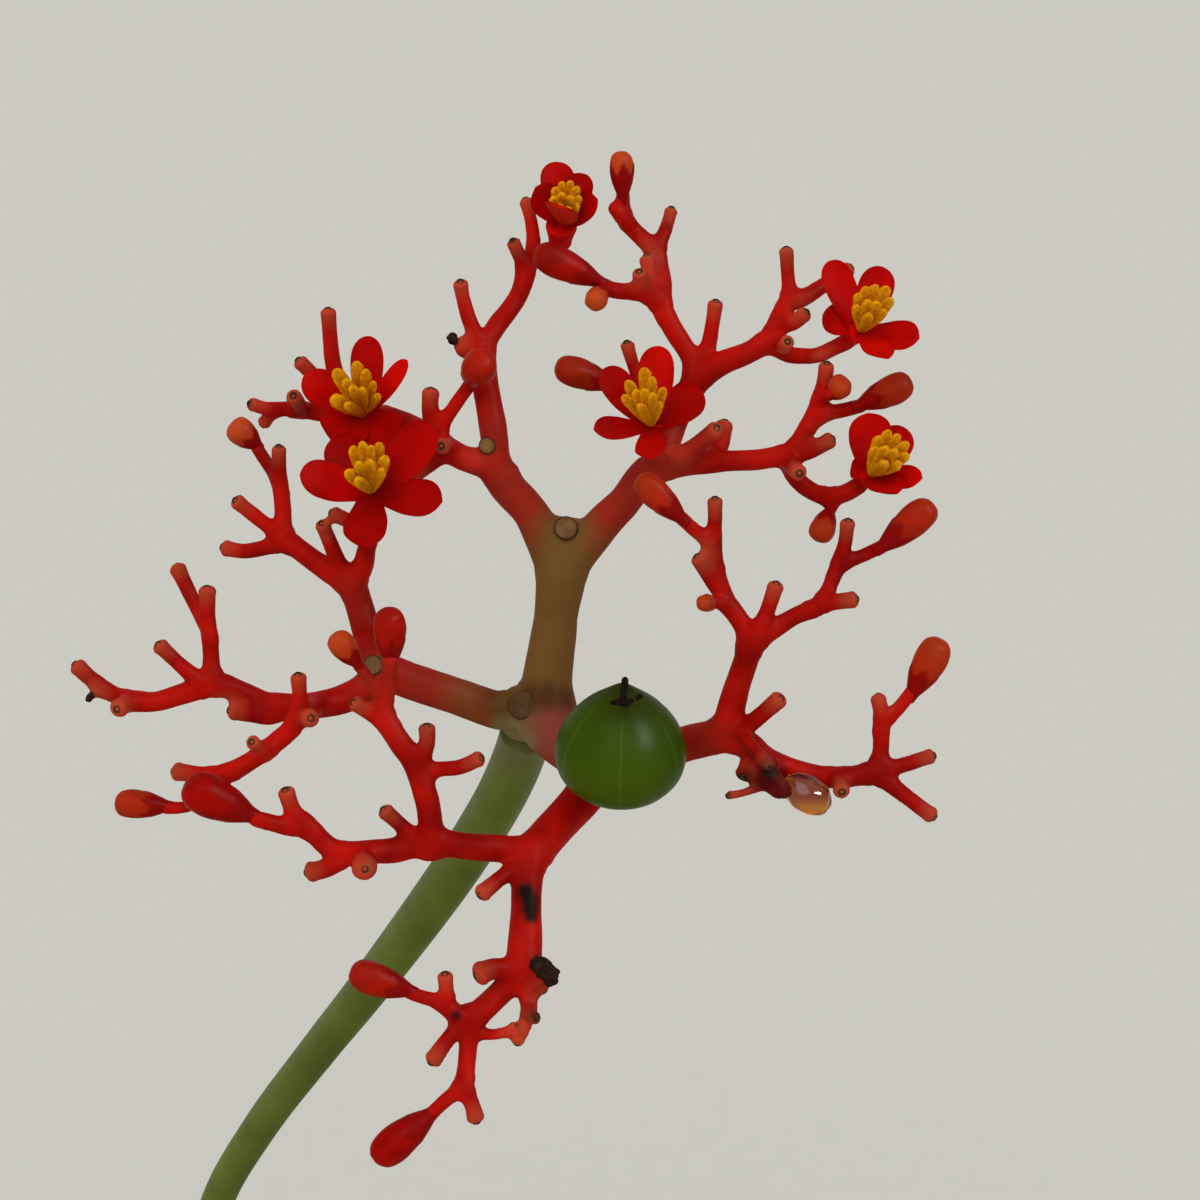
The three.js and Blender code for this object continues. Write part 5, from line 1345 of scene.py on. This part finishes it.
cup_path, lobe_path = spine(CUP_PROFILE, 5), spine(ANTHER_PROFILE, 5)
pinch = np.exp(-(((np.cos(around(ANTHER_SIDES)) - 1) / 0.3) ** 2))
for number, (base, flower) in enumerate(zip(FLOWER_BASES, FLOWERS), 1):
    foot, mouth = on_plan(base), on_plan(flower["mouth"])
    way = unit(mouth - foot)
    anthers = np.array(flower["anthers"], float)
    ends = on_plan(anthers[:, :3])
    facing = unit(unit(ends.mean(0) - foot) + TO_EYE)
    shapes = []
    for i, (across, down, depth, width, dark) in enumerate(flower["petals"]):
        tip = on_plan([across, down, depth])
        root = mouth - PETAL_SUNK * way + PETAL_CLEAR * unit(tip - mouth)
        half = plan_radius(width, depth)
        shapes.append(petal(root, tip, half, facing, 2.1 * i + number, dark))
    shapes.append(closed(grown(cup_path, foot, mouth, flower["girth"] * MM, CUP_SIDES)))
    piece(f"petals_{number}", heaped(shapes), scarlet, "petal", f"flower_{number}")

    lobes = []
    start = mouth - ANTHER_SUNK * way
    for end, half in zip(ends, plan_radius(anthers[:, 3], anthers[:, 2])):
        plain = grown(lobe_path, start, end, half, ANTHER_SIDES)
        rough = 0.07 * ripple(plain, 0.7 * MM, 81) * lobe_path[:, :1]
        rings = grown(lobe_path, start, end, half, ANTHER_SIDES, 1 - 0.16 * pinch + rough)
        lobes.append(closed(rings, groove=(pinch, 1, 0)))
    piece(f"anther_lobes_{number}", heaped(lobes), pollen, "anther", f"anthers_{number}")

# Fruit
# A plump three-lobed capsule, glossy dark green, pointed at the top where the style stood.
# Six pale seams run from its base to its tip.

FRUIT_BASE = [619, 797, 14.6]
FRUIT_TOP = [623, 683.5, 20.4]
FRUIT_WIDTH = 131
FRUIT_PROFILE = [  # radius as a share of the half width, height as a share of the length
    [0.03, 0], [0.36, 0.01], [0.72, 0.1], [0.94, 0.24], [1, 0.38], [0.97, 0.49],
    [0.86, 0.63], [0.61, 0.79], [0.28, 0.92], [0.09, 0.985], [0.02, 1],
]
FRUIT_SIDES = 144

fruit_path = spine(FRUIT_PROFILE, 9)
share = fruit_path[:, 1:]
angle = around(FRUIT_SIDES)
swing = np.abs((angle * 3 / np.pi + 0.5) % 1 - 0.5) * np.pi / 3
seam = np.exp(-((swing / 0.022) ** 2))
lobe = 0.012 * np.cos(3 * angle) - 0.007 * np.exp(-((swing / 0.12) ** 2)) + 0.004 * seam
girth = 1 + lobe * np.sin(np.pi * np.clip(share, 0.02, 0.98)) ** 0.6
half = plan_radius(FRUIT_WIDTH, FRUIT_BASE[2])
rings = grown(fruit_path, on_plan(FRUIT_BASE), on_plan(FRUIT_TOP), half, FRUIT_SIDES, girth)
fruit_green = finish(
    "Fruit_green", (58, 80, 2), (48, 72, 1), 7 * MM, bump=0.01 * MM, roughness=0.38, gleam=0.05
)
stain(fruit_green, "ripe", (84, 92, 6), 0.8)
stain(fruit_green, "seam", (84, 102, 24), 0.4)
stain(fruit_green, "crown", (44, 42, 4), 0.85)
fruit_shape = closed(
    rings,
    seam=(seam, 0, 0),
    ripe=(np.clip(0.55 - share, 0, 1), 0.5, 0),
    crown=(np.clip(4 * (share - 0.74), 0, 1), 0, 1),
)
piece("seed_capsule", fruit_shape, fruit_green, "fruit", "fruit")

# Withered style
# The dry black-brown style on the fruit's tip, thin as thread and forked in two, with a crumb of
# it beside.

STYLE_DEPTH = 22
STYLE_SIDES = 10
STYLE_LIMBS = [
    [[625, 686, 20.4, 7], [625, 680, 21.6, 7], [624, 690, 23.4, 7], [623, 702, 24.4, 8]],
    [[633, 700, 24.6, 5], [626, 703, 24.9, 8], [618, 702, 24.7, 7], [611, 703, 24.2, 4]],
    [[636, 699, 23.6, 5], [641, 696, 23.5, 5], [642, 697, 23.4, 3]],
]

style = []
for run in STYLE_LIMBS:
    run = np.array(run)
    path = spine(on_plan(run[:, :3]), 5)
    place = np.linspace(0, len(run) - 1, len(path))
    radii = np.interp(place, np.arange(len(run)), plan_radius(run[:, 3], STYLE_DEPTH))
    rings = tube(path, radii, STYLE_SIDES)
    style.append(closed(rings + 0.05 * MM * ripple(rings, 0.5 * MM, 61)[..., None] * TO_EYE))
dry = finish("Dry_style", (30, 17, 12), (14, 8, 6), 0.5 * MM, roughness=0.85, gleam=0.05)
piece("dry_style", heaped(style), dry, "withered", "style")

# Sap
# A clear drop of sap, set to a glossy skin, that clings under the right limb and sags a little.
# It is pale above and amber below.

SAP_CENTRE = on_plan([807, 794, 14])
SAP_HALF = np.array([2.75, 2.15, 1.8]) * MM
SAP_SAG = 0.25

rise = np.linspace(0.04, 1, 28, endpoint=False) * np.pi
ball = turned(np.sin(rise), -np.cos(rise), 36)
uneven = 1 + 0.05 * ripple(ball, 1.3, 71) + 0.02 * ripple(ball, 0.6, 72)
wide, near, high = np.moveaxis(ball * uneven[..., None] * SAP_HALF[[0, 2, 1]], -1, 0)[..., None]
rings = SAP_CENTRE + wide * ACROSS + (high - SAP_SAG * wide) * UP_PLAN - near * TO_EYE
points, faces, _ = closed(rings)
below = (SAP_CENTRE - points) @ UP_PLAN / SAP_HALF[1]
clear = finish("Clear_sap", (162, 78, 56), (140, 62, 40), 1.6 * MM, roughness=0.05)
stain(clear, "amber", (220, 136, 28), 0.9)
clear.node_tree.nodes["Principled BSDF"].inputs["Transmission Weight"].default_value = 0.96
clear.node_tree.nodes["Principled BSDF"].inputs["IOR"].default_value = 1.42
sap_shape = (points, faces, {"amber": np.clip(1.8 * below - 0.25, 0, 1)})
piece("sap_bead", sap_shape, clear, "sap", "sap_drop")
